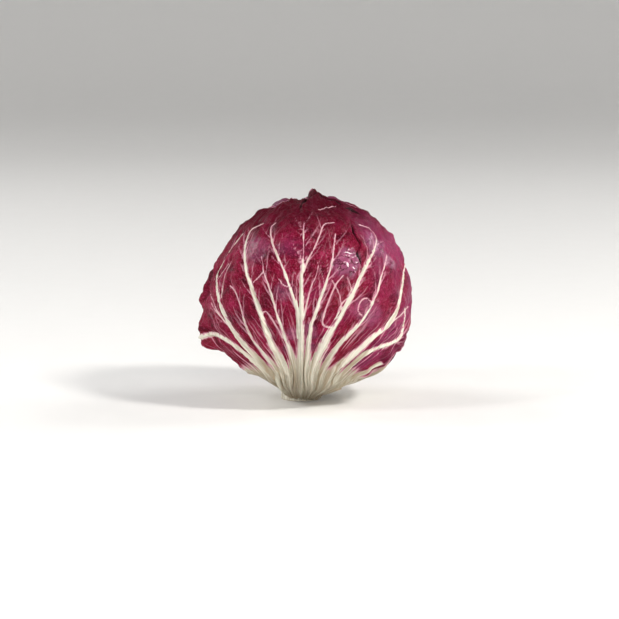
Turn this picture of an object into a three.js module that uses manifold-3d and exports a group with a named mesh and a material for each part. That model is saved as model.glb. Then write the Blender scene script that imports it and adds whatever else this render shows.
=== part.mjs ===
// A round head of red radicchio, standing on its trimmed stem.
// Units are millimetres, +Z is up, and the origin is the middle of the stem's cut face.
// The front leaf faces -Y. Every leaf is a closed blade of its own: a patch of the head's round
// surface, nested under the leaves outside it, with a thick pale base, raised ribs and a waved edge.
import * as THREE from "three";
import { mergeVertices } from "three/addons/utils/BufferGeometryUtils.js";
import Module from "manifold-3d";

const wasm = await Module();
wasm.setup();

const DEG = Math.PI / 180;

// The head: a ball that tapers to the stem and leans a little towards +X.
const HEAD_RADIUS = 59;
const SIDE_LEAN = 3;
const CENTRE_HEIGHT = 54.5;
const STEM_TAPER = 0.125;
const TAPER_FROM = 26 * DEG;
const TAPER_TO = 74 * DEG;
const CROWN_FLATNESS = 0.035;
const CROWN_FROM = 120 * DEG;

// Slow swells and hollows of the head. around is measured round the stem from the front towards +X,
// and down from the stem up. height is in millimetres, and spread is the angle over which it fades.
const SWELLS = [
  { around: -85, down: 43, height: -8, spread: 22 },
  { around: -90, down: 114, height: -6.8, spread: 33 },
  { around: 90, down: 85, height: -1.8, spread: 30 },
  { around: 150, down: 78, height: 1.8, spread: 30 },
  { around: 200, down: 118, height: -2.2, spread: 32 },
  { around: -140, down: 96, height: 1.4, spread: 26 },
];

// How far apart the leaves lie, near the stem and on the ball.
const LAYER_AT_STEM = 3.9;
const LAYER_ON_BALL = 2.95;
const LAYER_FROM = 30 * DEG;
const LAYER_TO = 80 * DEG;
const TUCK_FROM = 3 * DEG;
const TUCK_TO = 25 * DEG;
const OPEN_TO = 13 * DEG;

// Every leaf blade.
const LEAF_ROOT = 13 * DEG;
const BASE_THICKNESS = 2.4;
const TIP_THICKNESS = 0.75;
const RIB_HEIGHT = 1.15;
const COVERED_RIB_SHARE = 0.35;
const NECK_SHARE = 0.5;
const WIDE_NECK_SHARE = 0.82;
const NECK_FROM = 48 * DEG;
const NECK_TO = 95 * DEG;
const WIDEST_STEP = 0.095;

// The stem.
const CUT_RADIUS = 10.6;
const STEM_RADIUS = 11.6;
const STEM_GAP = 0.5;
const STEM_TOP = 16;

// The heart.
const CORE_DEPTH = 3.2;
const HEART_STEP = 1.3;
const HEART_SINK = 6;

const WINE = 0x6d1230;
const WINE_DARK = 0x541026;
const HEART_WINE = 0x7a1c3e;
const PALE_STEM = 0xd8cfb0;

const clamp = (x, low, high) => Math.min(high, Math.max(low, x));
const mix = (a, b, t) => a + (b - a) * t;
const bell = (x, width) => Math.exp(-((x / width) ** 2));

function smoothstep(from, to, x) {
  const t = clamp((x - from) / (to - from), 0, 1);
  return t * t * (3 - 2 * t);
}

// The angle of a direction from straight down, where the stem is.
const downAngle = (direction) => Math.acos(clamp(-direction.z, -1, 1));

function directionAt(around, down) {
  const [a, d] = [around * DEG, down * DEG];
  return new THREE.Vector3(Math.sin(a) * Math.sin(d), -Math.cos(a) * Math.sin(d), -Math.cos(d));
}

// The head's radius from its centre, in a direction.
function headRadius(direction) {
  const down = downAngle(direction);
  const taper = STEM_TAPER * (1 - smoothstep(TAPER_FROM, TAPER_TO, down));
  const crown = CROWN_FLATNESS * smoothstep(CROWN_FROM, Math.PI, down);
  const swell = SWELLS.reduce((sum, { around, down: at, height, spread }) => {
    const away = direction.angleTo(directionAt(around, at));
    return sum + height * bell(away, spread * DEG);
  }, 0);
  return HEAD_RADIUS * (1 - taper - crown) + SIDE_LEAN * direction.x + swell;
}

const layerStep = (down) => mix(LAYER_AT_STEM, LAYER_ON_BALL, smoothstep(LAYER_FROM, LAYER_TO, down));

// A curve through a few points, level at each of them.
function throughPoints(points, x) {
  if (x <= points[0][0]) return points[0][1];
  for (let i = 1; i < points.length; i++) {
    const [x0, y0] = points[i - 1];
    const [x1, y1] = points[i];
    if (x <= x1) return mix(y0, y1, smoothstep(x0, x1, x));
  }
  return points[points.length - 1][1];
}

// The leaves, from the outermost in. azimuth is where the midrib stands, from the front towards +X.
// lean carries the leaf's tip across the crown. tip is the reach of the margin along the leaf, and
// ribs are the places across the leaf, from 0 at the midrib to 1 at the side margin.
const MAIN_RIBS = [0.15, 0.3, 0.46, 0.63, 0.82];
const SIDE_RIBS = [0.2, 0.42, 0.66, 0.86];
const INNER_RIBS = [0.38, 0.74];

const FRONT_TIP = [
  [-1, 96], [-0.86, 116], [-0.73, 134], [-0.6, 151], [-0.42, 161], [-0.2, 166],
  [0.05, 171], [0.3, 168], [0.5, 159], [0.62, 143], [0.75, 122], [0.86, 111], [1, 98],
];

const LEAVES = [
  {
    name: "leaf_front", azimuth: 0, lean: 8, width: 97, ribs: MAIN_RIBS, rows: 14,
    tip: (c) => throughPoints(FRONT_TIP, c), waves: 7, wave: 1.5, phase: 0.6, flare: frontFlare,
    color: WINE,
  },
  {
    name: "leaf_left", azimuth: -118, lean: 16, width: 93, neck: WIDE_NECK_SHARE, ribs: SIDE_RIBS, rows: 13,
    tip: (c) => 161 - 50 * Math.abs(c) ** 3, waves: 6, wave: 2.2, phase: 2.1, folds: 2,
    color: WINE_DARK,
  },
  {
    name: "leaf_right", azimuth: 118, lean: 20, width: 92, neck: WIDE_NECK_SHARE, ribs: SIDE_RIBS, rows: 13,
    tip: (c) => 153 - 46 * Math.abs(c) ** 3, waves: 7, wave: 2.4, phase: 4.4, folds: 3,
    color: WINE,
  },
  {
    name: "leaf_inner_left", azimuth: -61, lean: 34, width: 86, ribs: INNER_RIBS, rows: 13,
    tip: (c) => 150 - 44 * Math.abs(c) ** 3, waves: 5, wave: 1.6, phase: 1.2, folds: 2,
    color: WINE_DARK,
  },
  {
    name: "leaf_inner_right", azimuth: 60, lean: 40, width: 86, ribs: INNER_RIBS, rows: 13,
    tip: (c) => 146 - 42 * Math.abs(c) ** 3, waves: 6, wave: 1.6, phase: 3.3, folds: 2,
    color: WINE,
  },
  {
    name: "leaf_inner_back", azimuth: 186, lean: 44, width: 88, ribs: INNER_RIBS, rows: 13,
    tip: (c) => 147 - 42 * Math.abs(c) ** 3, waves: 5, wave: 1.6, phase: 5.0, folds: 2,
    color: WINE_DARK,
  },
];

const HEART_LEAVES = [
  { azimuth: 25, lean: 46, width: 80, rows: 9, tip: (c) => 150 - 40 * Math.abs(c) ** 3 },
  { azimuth: 150, lean: 38, width: 82, rows: 9, tip: (c) => 150 - 40 * Math.abs(c) ** 3 },
  { azimuth: -95, lean: 50, width: 80, rows: 9, tip: (c) => 146 - 40 * Math.abs(c) ** 3 },
];

// Half the leaf's width, as an angle round the stem, at a reach along it.
const halfWidth = (leaf, reach) =>
  leaf.width * DEG * mix(leaf.neck ?? NECK_SHARE, 1, smoothstep(NECK_FROM, NECK_TO, reach));

// Ribs fan from the stem, bunch towards the midrib and then spread.
const fanPower = (reach) =>
  1 + 0.7 * smoothstep(15 * DEG, 60 * DEG, reach) - 0.9 * smoothstep(60 * DEG, 122 * DEG, reach);

function fanAngle(leaf, c, reach) {
  return halfWidth(leaf, reach) * Math.sign(c) * Math.abs(c) ** fanPower(reach);
}

// The direction from the head's centre of a point of a leaf, given its place round and along the leaf.
// Circles through the stem stay circles through the stem, and the far ends meet past the crown.
function directionOf(leaf, fan, reach) {
  const m = Math.tan(reach / 2);
  const t = Math.tan((leaf.lean * DEG) / 2);
  const across = m * Math.sin(fan);
  const out = m * Math.cos(fan) - t * m * m;
  const far = 1 - 2 * t * m * Math.cos(fan) + t * t * m * m;
  const scale = m * m + far;
  const a = leaf.azimuth * DEG;
  const h1 = (2 * out) / scale;
  const h2 = (2 * across) / scale;
  return new THREE.Vector3(
    h1 * Math.sin(a) + h2 * Math.cos(a),
    -h1 * Math.cos(a) + h2 * Math.sin(a),
    (m * m - far) / scale,
  );
}

// The reverse: where a direction falls on a leaf.
function placeOn(leaf, direction) {
  const a = leaf.azimuth * DEG;
  const t = Math.tan((leaf.lean * DEG) / 2);
  const h1 = direction.x * Math.sin(a) - direction.y * Math.cos(a);
  const h2 = direction.x * Math.cos(a) + direction.y * Math.sin(a);
  const low = 1 - direction.z;
  const re = low + t * h1;
  const im = t * h2;
  const bottom = re * re + im * im;
  const x = (h1 * re + h2 * im) / bottom;
  const y = (h2 * re - h1 * im) / bottom;
  return { fan: Math.atan2(y, x), reach: 2 * Math.atan(Math.hypot(x, y)) };
}

// How far a direction lies outside a leaf's margin, as an angle, and below 0 under the leaf.
function outsideOf(leaf, direction) {
  const { fan, reach } = placeOn(leaf, direction);
  const half = halfWidth(leaf, reach);
  const share = clamp(Math.abs(fan) / half, 0, 1) ** (1 / fanPower(reach));
  const past = reach - leaf.tip(Math.sign(fan) * share) * DEG;
  const beside = (Math.abs(fan) - half) * Math.sin(reach);
  return Math.max(past, beside);
}

// 1 where a leaf lies over this direction, falling to 0 outside its margin.
const coverBy = (leaf, direction) => 1 - smoothstep(TUCK_FROM, TUCK_TO, outsideOf(leaf, direction));

// How deep a direction lies under the leaves outside it, and how open it is to view.
function tuckOf(outer, direction) {
  const cover = outer.reduce((sum, leaf) => sum + coverBy(leaf, direction), 0);
  const nearest = Math.min(...outer.map((leaf) => outsideOf(leaf, direction)));
  const depth = layerStep(downAngle(direction)) * cover;
  return { depth, open: smoothstep(TUCK_FROM, OPEN_TO, nearest) };
}

const atCentre = (direction, radius) =>
  direction.clone().multiplyScalar(radius).add(new THREE.Vector3(0, 0, CENTRE_HEIGHT));

// Places across a leaf for its grid: each rib has a crest and two feet, with even steps between ribs.
function columnsFor(ribs, foot) {
  const half = [];
  const crests = [0, ...ribs];
  crests.forEach((crest, i) => {
    const last = i + 1 === crests.length;
    const from = crest + foot;
    const to = last ? 1 : crests[i + 1] - foot;
    const steps = Math.ceil((to - from) / WIDEST_STEP);
    for (let k = 0; k <= steps; k++) half.push(mix(from, to, k / steps));
    if (!last) half.push(crests[i + 1]);
  });
  return [...half.map((c) => -c).reverse(), 0, ...half];
}

// The height of the ribs at a place on a leaf.
function ribRelief(ribs, foot, c, v) {
  const nearest = Math.min(...[0, ...ribs].map((rib) => Math.abs(Math.abs(c) - rib)));
  const along = smoothstep(0, 0.12, v) * (1 - 0.8 * smoothstep(0.3, 0.95, v));
  const middle = 1 + 0.35 * bell(c, 0.06);
  return RIB_HEIGHT * along * middle * clamp(1 - nearest / foot, 0, 1);
}

// How far the margin waves outwards.
function marginWave(leaf, c, v) {
  const edge = Math.max(smoothstep(0.8, 1, v), smoothstep(0.86, 1, Math.abs(c)) * smoothstep(0.2, 0.5, v));
  const round = leaf.waves * (c * 2.2 + v * (c > 0 ? 1.3 : -1.3)) + leaf.phase;
  return leaf.wave * edge * (0.5 + 0.5 * Math.sin(round));
}

// The front leaf's corner at the crown stands up as a small flap, its left side flares out in two
// lobes with a notch between them, and its lower right side ruffles out.
function frontFlare(c, v) {
  const corner = 4 * bell(c - 0.12, 0.13) * smoothstep(0.92, 1, v);
  const lobes = 5.8 * bell(v - 0.69, 0.07) + 3.2 * bell(v - 0.93, 0.055);
  const left = smoothstep(-0.8, -1, c) * lobes;
  const right = 1.4 * smoothstep(0.84, 1, c) * bell(v - 0.55, 0.16);
  return corner + left + right;
}

// Folds across the sides of the leaves behind, near the widest part of the head.
function sideFolds(leaf, c, v) {
  const fold = 0.5 + 0.5 * Math.sin(v * 21 + c * 3 + leaf.phase);
  return leaf.folds * fold * bell(v - 0.42, 0.2);
}

// A closed blade: an outer and an inner face, split into triangles alike, and a rim.
function bladeGeometry(columns, rows, outerPoint, innerPoint) {
  const positions = [];
  const across = columns.length;
  for (const pointAt of [outerPoint, innerPoint]) {
    for (let j = 0; j <= rows; j++) {
      columns.forEach((c) => positions.push(...pointAt(c, j / rows).toArray()));
    }
  }
  const inner = across * (rows + 1);
  const at = (i, j) => j * across + i;
  const index = [];
  for (let j = 0; j < rows; j++) {
    for (let i = 0; i + 1 < across; i++) {
      const [p, q, r, s] = [at(i, j), at(i + 1, j), at(i + 1, j + 1), at(i, j + 1)];
      index.push(p, q, r, p, r, s);
      index.push(inner + p, inner + r, inner + q, inner + p, inner + s, inner + r);
    }
  }
  const rim = [];
  for (let i = 0; i + 1 < across; i++) rim.push(at(i, 0));
  for (let j = 0; j < rows; j++) rim.push(at(across - 1, j));
  for (let i = across - 1; i > 0; i--) rim.push(at(i, rows));
  for (let j = rows; j > 0; j--) rim.push(at(0, j));
  rim.forEach((a, k) => {
    const b = rim[(k + 1) % rim.length];
    index.push(a, inner + a, inner + b, a, inner + b, b);
  });
  return new THREE.BufferGeometry()
    .setAttribute("position", new THREE.Float32BufferAttribute(positions, 3))
    .setIndex(index);
}

function reachAt(leaf, c, v) {
  return mix(LEAF_ROOT, leaf.tip(c) * DEG, v);
}

function leafGeometry(leaf, outer) {
  const foot = 0.3 / (leaf.ribs.length + 1.5);
  const surface = (c, v) => {
    const reach = reachAt(leaf, c, v);
    const direction = directionOf(leaf, fanAngle(leaf, c, reach), reach);
    const { depth, open } = tuckOf(outer, direction);
    const rib = ribRelief(leaf.ribs, foot, c, v) * mix(COVERED_RIB_SHARE, 1, open);
    const flare = leaf.flare ? leaf.flare(c, v) : sideFolds(leaf, c, v);
    const wave = (marginWave(leaf, c, v) + flare) * open ** 2;
    const thickness = mix(TIP_THICKNESS, BASE_THICKNESS, (1 - v) ** 2);
    return { direction, skin: headRadius(direction) - depth + wave, rib, thickness };
  };
  const outerPoint = (c, v) => {
    const { direction, skin, rib } = surface(c, v);
    return atCentre(direction, skin + rib);
  };
  const innerPoint = (c, v) => {
    const { direction, skin, thickness } = surface(c, v);
    return atCentre(direction, skin - thickness);
  };
  return bladeGeometry(columnsFor(leaf.ribs, foot), leaf.rows, outerPoint, innerPoint);
}

function solidOf(geometry) {
  const bare = geometry.clone();
  bare.deleteAttribute("normal");
  bare.deleteAttribute("uv");
  const merged = mergeVertices(bare, 1e-4);
  return new wasm.Manifold(
    new wasm.Mesh({
      numProp: 3,
      vertProperties: merged.attributes.position.array,
      triVerts: new Uint32Array(merged.index.array),
    }),
  );
}

function geometryOf(solid) {
  const { vertProperties, triVerts, numProp } = solid.getMesh();
  const positions = [];
  for (let i = 0; i < vertProperties.length; i += numProp) {
    positions.push(vertProperties[i], vertProperties[i + 1], vertProperties[i + 2]);
  }
  return new THREE.BufferGeometry()
    .setAttribute("position", new THREE.Float32BufferAttribute(positions, 3))
    .setIndex(new THREE.BufferAttribute(triVerts, 1));
}

// The tight middle of the head: a small core with the innermost leaves standing out of it.
function heartGeometry() {
  const skinAt = (direction) => headRadius(direction) - tuckOf(LEAVES, direction).depth;
  const core = new THREE.SphereGeometry(1, 26, 14);
  const places = core.attributes.position;
  for (let i = 0; i < places.count; i++) {
    const direction = new THREE.Vector3().fromBufferAttribute(places, i).normalize();
    places.setXYZ(i, ...atCentre(direction, skinAt(direction) - CORE_DEPTH - HEART_STEP).toArray());
  }
  let heart = solidOf(core);
  const columns = [-1, -0.8, -0.6, -0.4, -0.2, 0, 0.2, 0.4, 0.6, 0.8, 1];
  HEART_LEAVES.forEach((leaf, order) => {
    const outer = HEART_LEAVES.slice(0, order);
    const radiusAt = (c, v) => {
      const reach = reachAt(leaf, c, v);
      const direction = directionOf(leaf, fanAngle(leaf, c, reach), reach);
      const under = outer.reduce((sum, other) => sum + coverBy(other, direction), 0);
      return { direction, skin: skinAt(direction) - HEART_STEP * (0.4 + under) };
    };
    const face = (c, v) => {
      const { direction, skin } = radiusAt(c, v);
      return atCentre(direction, skin);
    };
    const sunk = (c, v) => {
      const { direction } = radiusAt(c, v);
      return atCentre(direction, skinAt(direction) - CORE_DEPTH - HEART_STEP - HEART_SINK);
    };
    heart = heart.add(solidOf(bladeGeometry(columns, leaf.rows, face, sunk)));
  });
  return geometryOf(heart);
}

// The stem: a trimmed butt that tapers up inside the leaf bases.
function stemGeometry() {
  const coneRadius = (z) => (CENTRE_HEIGHT - z) * Math.tan(LEAF_ROOT) - STEM_GAP;
  const profile = [
    [0, 0], [CUT_RADIUS, 0], [CUT_RADIUS + 0.6, 0.5], [STEM_RADIUS, 1.6],
    [coneRadius(2.6), 2.6], [coneRadius(9), 9], [coneRadius(STEM_TOP) - 0.6, STEM_TOP - 0.8],
    [coneRadius(STEM_TOP) - 2, STEM_TOP], [0, STEM_TOP],
  ];
  const lathe = new THREE.LatheGeometry(profile.map(([r, z]) => new THREE.Vector2(r, z)), 28);
  return lathe.rotateX(Math.PI / 2);
}

function namedMesh(name, geometry, color, roughness) {
  const mesh = new THREE.Mesh(geometry, new THREE.MeshStandardMaterial({ color, roughness, metalness: 0 }));
  mesh.name = name;
  return mesh;
}

const head = new THREE.Group();
head.name = "radicchio_head";
head.add(namedMesh("stem", stemGeometry(), PALE_STEM, 0.75));
head.add(namedMesh("heart", heartGeometry(), HEART_WINE, 0.5));
LEAVES.forEach((leaf, order) => {
  head.add(namedMesh(leaf.name, leafGeometry(leaf, LEAVES.slice(0, order)), leaf.color, 0.45));
});

export default head;
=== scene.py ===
"""A round head of red radicchio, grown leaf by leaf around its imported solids.

Each leaf is a patch of one round head, nested under the leaves outside it, and takes the place of its
solid at full detail: the course of its ribs, the side veins that branch from them, the puckered blade
between, the thick pale base and the ruffled margin. Lengths in the growing code are in millimetres,
with the head's centre above the middle of the stem's cut face, and +Z up. The front leaf faces -Y.
"""

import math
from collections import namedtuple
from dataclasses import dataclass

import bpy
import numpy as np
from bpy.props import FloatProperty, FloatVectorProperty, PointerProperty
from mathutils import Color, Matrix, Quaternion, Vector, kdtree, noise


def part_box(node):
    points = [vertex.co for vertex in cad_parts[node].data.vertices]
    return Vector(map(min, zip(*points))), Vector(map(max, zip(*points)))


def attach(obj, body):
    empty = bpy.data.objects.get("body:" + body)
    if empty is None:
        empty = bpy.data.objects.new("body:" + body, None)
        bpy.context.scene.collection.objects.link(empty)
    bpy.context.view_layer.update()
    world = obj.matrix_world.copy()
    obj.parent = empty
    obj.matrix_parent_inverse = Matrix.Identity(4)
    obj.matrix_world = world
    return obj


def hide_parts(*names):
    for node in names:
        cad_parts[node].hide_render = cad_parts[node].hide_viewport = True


bl_info = {
    "name": "Radicchio Head",
    "version": (1, 0, 0),
    "blender": (4, 5, 0),
    "location": "3D View > Sidebar > Radicchio",
    "description": "Grows the leaves, heart and stem of a head of radicchio and sets it on a pale floor",
    "category": "Object",
}

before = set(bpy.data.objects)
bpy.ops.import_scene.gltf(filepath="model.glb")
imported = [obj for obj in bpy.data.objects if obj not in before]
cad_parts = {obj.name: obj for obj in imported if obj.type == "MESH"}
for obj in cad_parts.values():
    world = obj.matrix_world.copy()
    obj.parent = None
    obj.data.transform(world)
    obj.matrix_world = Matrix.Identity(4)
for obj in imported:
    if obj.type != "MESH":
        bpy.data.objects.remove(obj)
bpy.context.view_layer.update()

MM = 0.001
DEG = math.pi / 180
BODY = "root"

# Veins and noise are laid out on a ball of about the head's radius, and courses in steps of this length.
BALL = 59
COURSE_STEP = 0.4

# The head's shape.
TAPER_FROM, TAPER_TO = 26 * DEG, 74 * DEG
CROWN_FLATNESS, CROWN_FROM = 0.035, 120 * DEG
# Slow swells and hollows: place round the stem from the front, angle from straight down, height and
# the angle over which it fades.
SWELLS = [
    (-85, 43, -8.0, 22),
    (-90, 114, -6.8, 33),
    (90, 85, -1.8, 30),
    (150, 78, 1.8, 30),
    (200, 118, -2.2, 32),
    (-140, 96, 1.4, 26),
    (-90, 80, -2.6, 7),
    (-90, 117, 1.9, 7),
    (-90, 152, -2.0, 9),
    (90, 153, 2.0, 13),
]

# How leaves lie on each other.
LAYER_FROM, LAYER_TO = 30 * DEG, 80 * DEG
TUCK_FROM, TUCK_TO, OPEN_TO = 3 * DEG, 25 * DEG, 13 * DEG

# Every blade: where it leaves the stem, how wide its neck is, how it fans out above the neck and
# evens out again, and how its points crowd towards its sides.
LEAF_ROOT = 13 * DEG
NECK_SHARE, NECK_FROM, NECK_TO = 0.5, 48 * DEG, 95 * DEG
WIDE_NECK_SHARE = 0.82
FANNING, FAN_FROM, FAN_TO = 0.7, 15 * DEG, 60 * DEG
EVENING, EVEN_TO = 0.9, 122 * DEG
SIDE_CROWDING = 0.15
BLADE_FROM, BLADE_TO = 50 * DEG, 80 * DEG
BASE_THICKNESS, TIP_THICKNESS = 2.4, 0.6
ROOT_DROP = 2.6
# The inner face has one point for this many of the outer face, in each direction.
INNER_STEP = 5
# Width of a leaf from its midrib to its side as its material sees it.
GRAIN_WIDTH = 96

# Side veins: the least half width that shows, how far apart they keep, how far from its foot a vein
# may end and how near it then comes to others, and its sway, its turn and its pull to the tip a step.
THINNEST = 0.3
VEIN_SPACING, ENDS_AFTER, MEETING_GAP = 1.1, 2.5, 0.4
SWAY, TURN, TIP_PULL = 0.035, 0.04, 0.018

# The front leaf's ribs are drawn on an upright plane: millimetres to the right of the stem and up from
# its foot, as seen from the front and this much above. Sight lines are followed in this many steps.
FRONT_TILT = 8 * DEG
SIGHT_STEPS = 200

# The front leaf's margin: place across the leaf, and how far it reaches from the stem.
FRONT_TIP = [
    (-1, 96), (-0.86, 116), (-0.73, 134), (-0.6, 151), (-0.42, 161), (-0.2, 166),
    (0.05, 171), (0.3, 168), (0.5, 159), (0.62, 143), (0.75, 122), (0.86, 111), (1, 98),
]

# The front leaf's ribs from the stem up: half widths in millimetres at the bottom and the top of the
# course, and the course.
FRONT_RIBS = [
    (2.0, 0.26, [(0, 7.5), (0, 26.5), (0.5, 43), (0.5, 59.5), (1, 76), (1.5, 90), (1.9, 99)]),
    (1.0, 0.25, [(3.5, 24), (5, 38), (7.5, 47), (12, 59.5), (15.5, 70.5), (17.5, 79.5), (19, 92)]),
    (1.9, 0.1, [(7.5, 21.5), (14.5, 35), (20, 44.5), (25, 53), (29, 61), (32.5, 68), (36.5, 75.5),
                 (40.5, 83.5), (41.5, 90), (38.5, 94.5), (31.5, 97)]),
    (1.1, 0.3, [(12, 17.5), (20, 30), (28.5, 39), (35, 46.5), (38.5, 53), (42, 60.5), (44, 68),
                (46.5, 75.5), (47.5, 81)]),
    (1.7, 0.35, [(16, 15), (28.5, 25.5), (39, 35), (47.5, 41.5), (52.5, 49.5), (55, 59.5),
                 (56.5, 68.5), (57, 78), (55, 85)]),
    (1.3, 0.5, [(9.5, 4), (18.5, 11), (28.5, 20), (35.5, 26), (43, 29.5), (49.5, 31.5), (53.5, 34.5),
                (56, 40), (57.3, 46.5), (57.5, 52)]),
    (2.0, 0.15, [(21, 7.8), (31, 14.2), (38, 18.6), (42.5, 22)]),
    (0.9, 0.25, [(-4.5, 24), (-8.5, 35.5), (-12.5, 46.5), (-15, 55.5), (-17, 62), (-19.5, 68.5),
                 (-20.5, 73.5), (-21.5, 79.5)]),
    (1.8, 0.35, [(-5.5, 13.5), (-12, 24), (-17.5, 35.5), (-20.5, 44.5), (-24, 54), (-27, 63),
                 (-29.5, 71), (-30.5, 78.5), (-30.5, 84.5), (-28.5, 91), (-26, 95), (-20, 97.5)]),
    (0.8, 0.25, [(-9.5, 12.5), (-17.5, 23), (-24.5, 31.5), (-29.5, 40.5), (-32, 49), (-33.5, 54.5),
                 (-36, 60.5), (-39, 63.5)]),
    (1.9, 0.4, [(-9, 6), (-19.5, 18.5), (-29.5, 29.5), (-37, 39), (-42.5, 49.5), (-45, 57),
                (-46.2, 66), (-44.5, 72), (-41.2, 78.5), (-37.6, 84), (-34.2, 89), (-31.5, 92.5)]),
    (1.1, 0.8, [(-23.5, 20), (-33.5, 28.5), (-42, 34), (-47, 36.5), (-52.5, 37.5), (-56, 39)]),
]

# Branches that leave those ribs higher up.
FRONT_BRANCHES = [
    (0.5, 0.22, [(1, 68), (3.5, 76), (7.5, 83.5), (10.5, 91), (13, 97), (19, 97.5)]),
    (1.1, 0.25, [(-1, 35), (-1, 47), (-2.5, 53), (-5.5, 61), (-9, 70.5), (-12, 78), (-15, 85),
                 (-16.5, 92.5), (-16, 96), (-13, 98)]),
    (0.45, 0.2, [(16.7, 40.3), (13.8, 40.8), (11.8, 42.2), (12.5, 47), (15.5, 55.5), (19, 63.5), (23.5, 69)]),
    (0.3, 0.2, [(35.6, 45.4), (34, 46.2), (31, 49.5), (32.5, 54.5), (35.5, 56.5), (37.8, 55), (38.6, 52.5)]),
    (0.45, 0.2, [(48.5, 42.5), (55, 47), (60, 52)]),
    (0.3, 0.2, [(27.5, 59.5), (26.5, 64.5), (25, 68.5)]),
    (0.35, 0.2, [(-26, 64.5), (-22, 68.5), (-20, 71)]),
    (0.35, 0.2, [(-21, 47.5), (-19, 49.5), (-16, 45.5), (-13, 40.5), (-9.5, 34)]),
    (0.5, 0.2, [(-43.5, 56.5), (-42.5, 64.5), (-41, 71), (-38, 77)]),
    (0.4, 0.2, [(-46, 66.5), (-42.6, 71), (-39.5, 76)]),
    (0.5, 0.25, [(-34.5, 35.5), (-41, 43), (-46, 48.5), (-50, 54)]),
    (0.4, 0.2, [(-38, 40.5), (-44.5, 47), (-52.5, 63.5)]),
    (0.4, 0.2, [(9.5, 105.2), (14, 106), (19.5, 106.6)]),
    (0.45, 0.2, [(1.2, 44), (2.6, 50), (3.7, 55), (5.5, 62), (9, 70), (9.5, 76)]),
    (0.4, 0.2, [(19, 44), (21.5, 52), (26, 57)]),
    (0.4, 0.2, [(22, 49), (21, 58), (17, 66)]),
    (0.4, 0.2, [(-5, 62), (-9, 63), (-12, 67)]),
]

# The front leaf's folded corners at its tip, across it, and the lobes of its left side, up it: how far
# they stand out, their place and their spread.
FRONT_CORNERS = [(4.2, 0.22, 0.08), (1.7, 0.43, 0.16)]
FRONT_LOBES = [(7.4, 0.68, 0.055), (3.6, 0.93, 0.05)]

# Splits and creases in the front leaf, with their half width and depth. Their insides are painted near black
# as shade.
FRONT_SPLITS = [
    (0.75, 1.9, [(27, 98.5), (28.5, 91), (31, 85), (30, 81), (32.5, 76), (33, 70.5)]),
    (2.2, 1.6, [(23.8, 104.4), (27.5, 103.8), (31.5, 101.2)]),
    (0.8, 2.2, [(5.5, 112.6), (3, 110), (1, 107), (-1.4, 103.5)]),
    (1.0, 1.5, [(4, 109.6), (9, 109.4), (14, 108.8), (19, 107.8), (23, 106.2)]),
    (0.5, 0.62, [(25.6, 20.5), (31.8, 25), (36.6, 28.1), (41.5, 31.2), (44.2, 34.3), (47.7, 37.4),
                 (51.8, 40.5), (55.9, 44.6)]),
    (0.4, 0.45, [(39, 25.5), (45, 27.5), (50, 29.5)]),
]
# The middle and the size of the crumpled place beside the long split.
CRUMPLE, CRUMPLE_SIZE = (30, 82), 12

# Pale violet patches on the front leaf, partly wax rubbed pale and partly painted sheen of the lights: the
# middle of the patch, its size and its strength.
WORN_AND_SHEEN_PATCHES = [
    ((24, 74), 8, 0.9), ((40, 86), 7, 0.8), ((36, 50), 8, 0.55), ((-24, 84), 9, 0.45), ((-9, 61), 6, 0.4),
    ((4, 38), 5, 0.6), ((6, 30), 4, 0.5), ((-4.5, 37), 4, 0.6), ((-6, 28), 4, 0.5), ((25, 77), 8, 0.9),
    ((-40, 92), 6, 0.6), ((-47, 80), 5, 0.5), ((-28, 101), 6, 0.6), ((47, 78), 5, 0.6),
]

# Where the front leaf is darkest, in the same way: partly painted shade under its folds and in its lower
# corners, partly darker tone of the blade.
DARK_PATCHES = [
    ((53, 32), 5, 0.8), ((46, 25.5), 5, 0.8), ((-52, 32), 5, 0.7), ((-45, 25), 5, 0.6),
    ((-30, 48), 6, 0.5), ((-17, 59), 5, 0.6), ((31, 101), 5, 0.7), ((12, 86), 6, 0.4),
]

# How high veins stand out of the blade: ribs and branches as a share of their half width, and twigs in
# millimetres. The share of all relief that stays where leaves cover each other. How many ridges cross
# half the base between the ribs, and how often they break off on the way up.
RIB_RELIEF, BRANCH_RELIEF, TWIG_RELIEF = 1.45, 1.0, 0.22
COVERED_RELIEF = 0.35
RIDGE_LANES, RIDGE_BREAKS = 46, 2.6

# How far the blade swells between its ribs, between its twigs, and in rays at the crown.
PANEL_SWELL, TWIG_SWELL, RAY_SWELL = 1.3, 0.45, 0.8

# The stem: how far its cut face lies inside its widest ring, and how finely it is turned.
CUT_INSET, STEM_STEP, STEM_SIDES = 1.0, 0.35, 144

# The heart: how far its core lies under the leaves over it, and how finely the core is made.
CORE_DEPTH, CORE_SIDES, CORE_RINGS = 4.5, 96, 64

# How bright the wine colour is and how strong the vein net is, from the heart out.
HEART_SHADE, HEART_NET = 1.15, 0.5
INNER_SHADE, INNER_NET = 0.9, 0.8
SIDE_SHADE, SIDE_NET = 0.95, 1.0
FRONT_SHADE, FRONT_NET = 1.0, 1.0

QUICK_DETAIL, QUICK_HEART_DETAIL = 0.45, 0.5

# The floor from its middle out and up, and where the camera looks, in metres.
FLOOR_PROFILE = [(0, 0), (0.9, 0), (1.8, 0), (2.5, 0.12), (3.0, 0.7), (3.2, 1.6), (3.2, 2.6)]
FLOOR_STEP, FLOOR_SIDES = 0.12, 96
VIEW_CENTRE = Vector((0.0048, 0, 0.0506))

# A vein's course on the ball and its half width there.
Vein = namedtuple("Vein", "path half")
# How far places are from the nearest vein's middle, its half width, and how far they are from its edge.
Nearest = namedtuple("Nearest", "away half edge")
# A leaf's places: c from -1 to 1 across it, v from 0 to 1 up it, the angles that these stand for, the
# direction from the head's centre, the depth under other leaves, and from 0 to 1 how open it lies.
Grid = namedtuple("Grid", "c v reach fan direction depth open")


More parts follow.
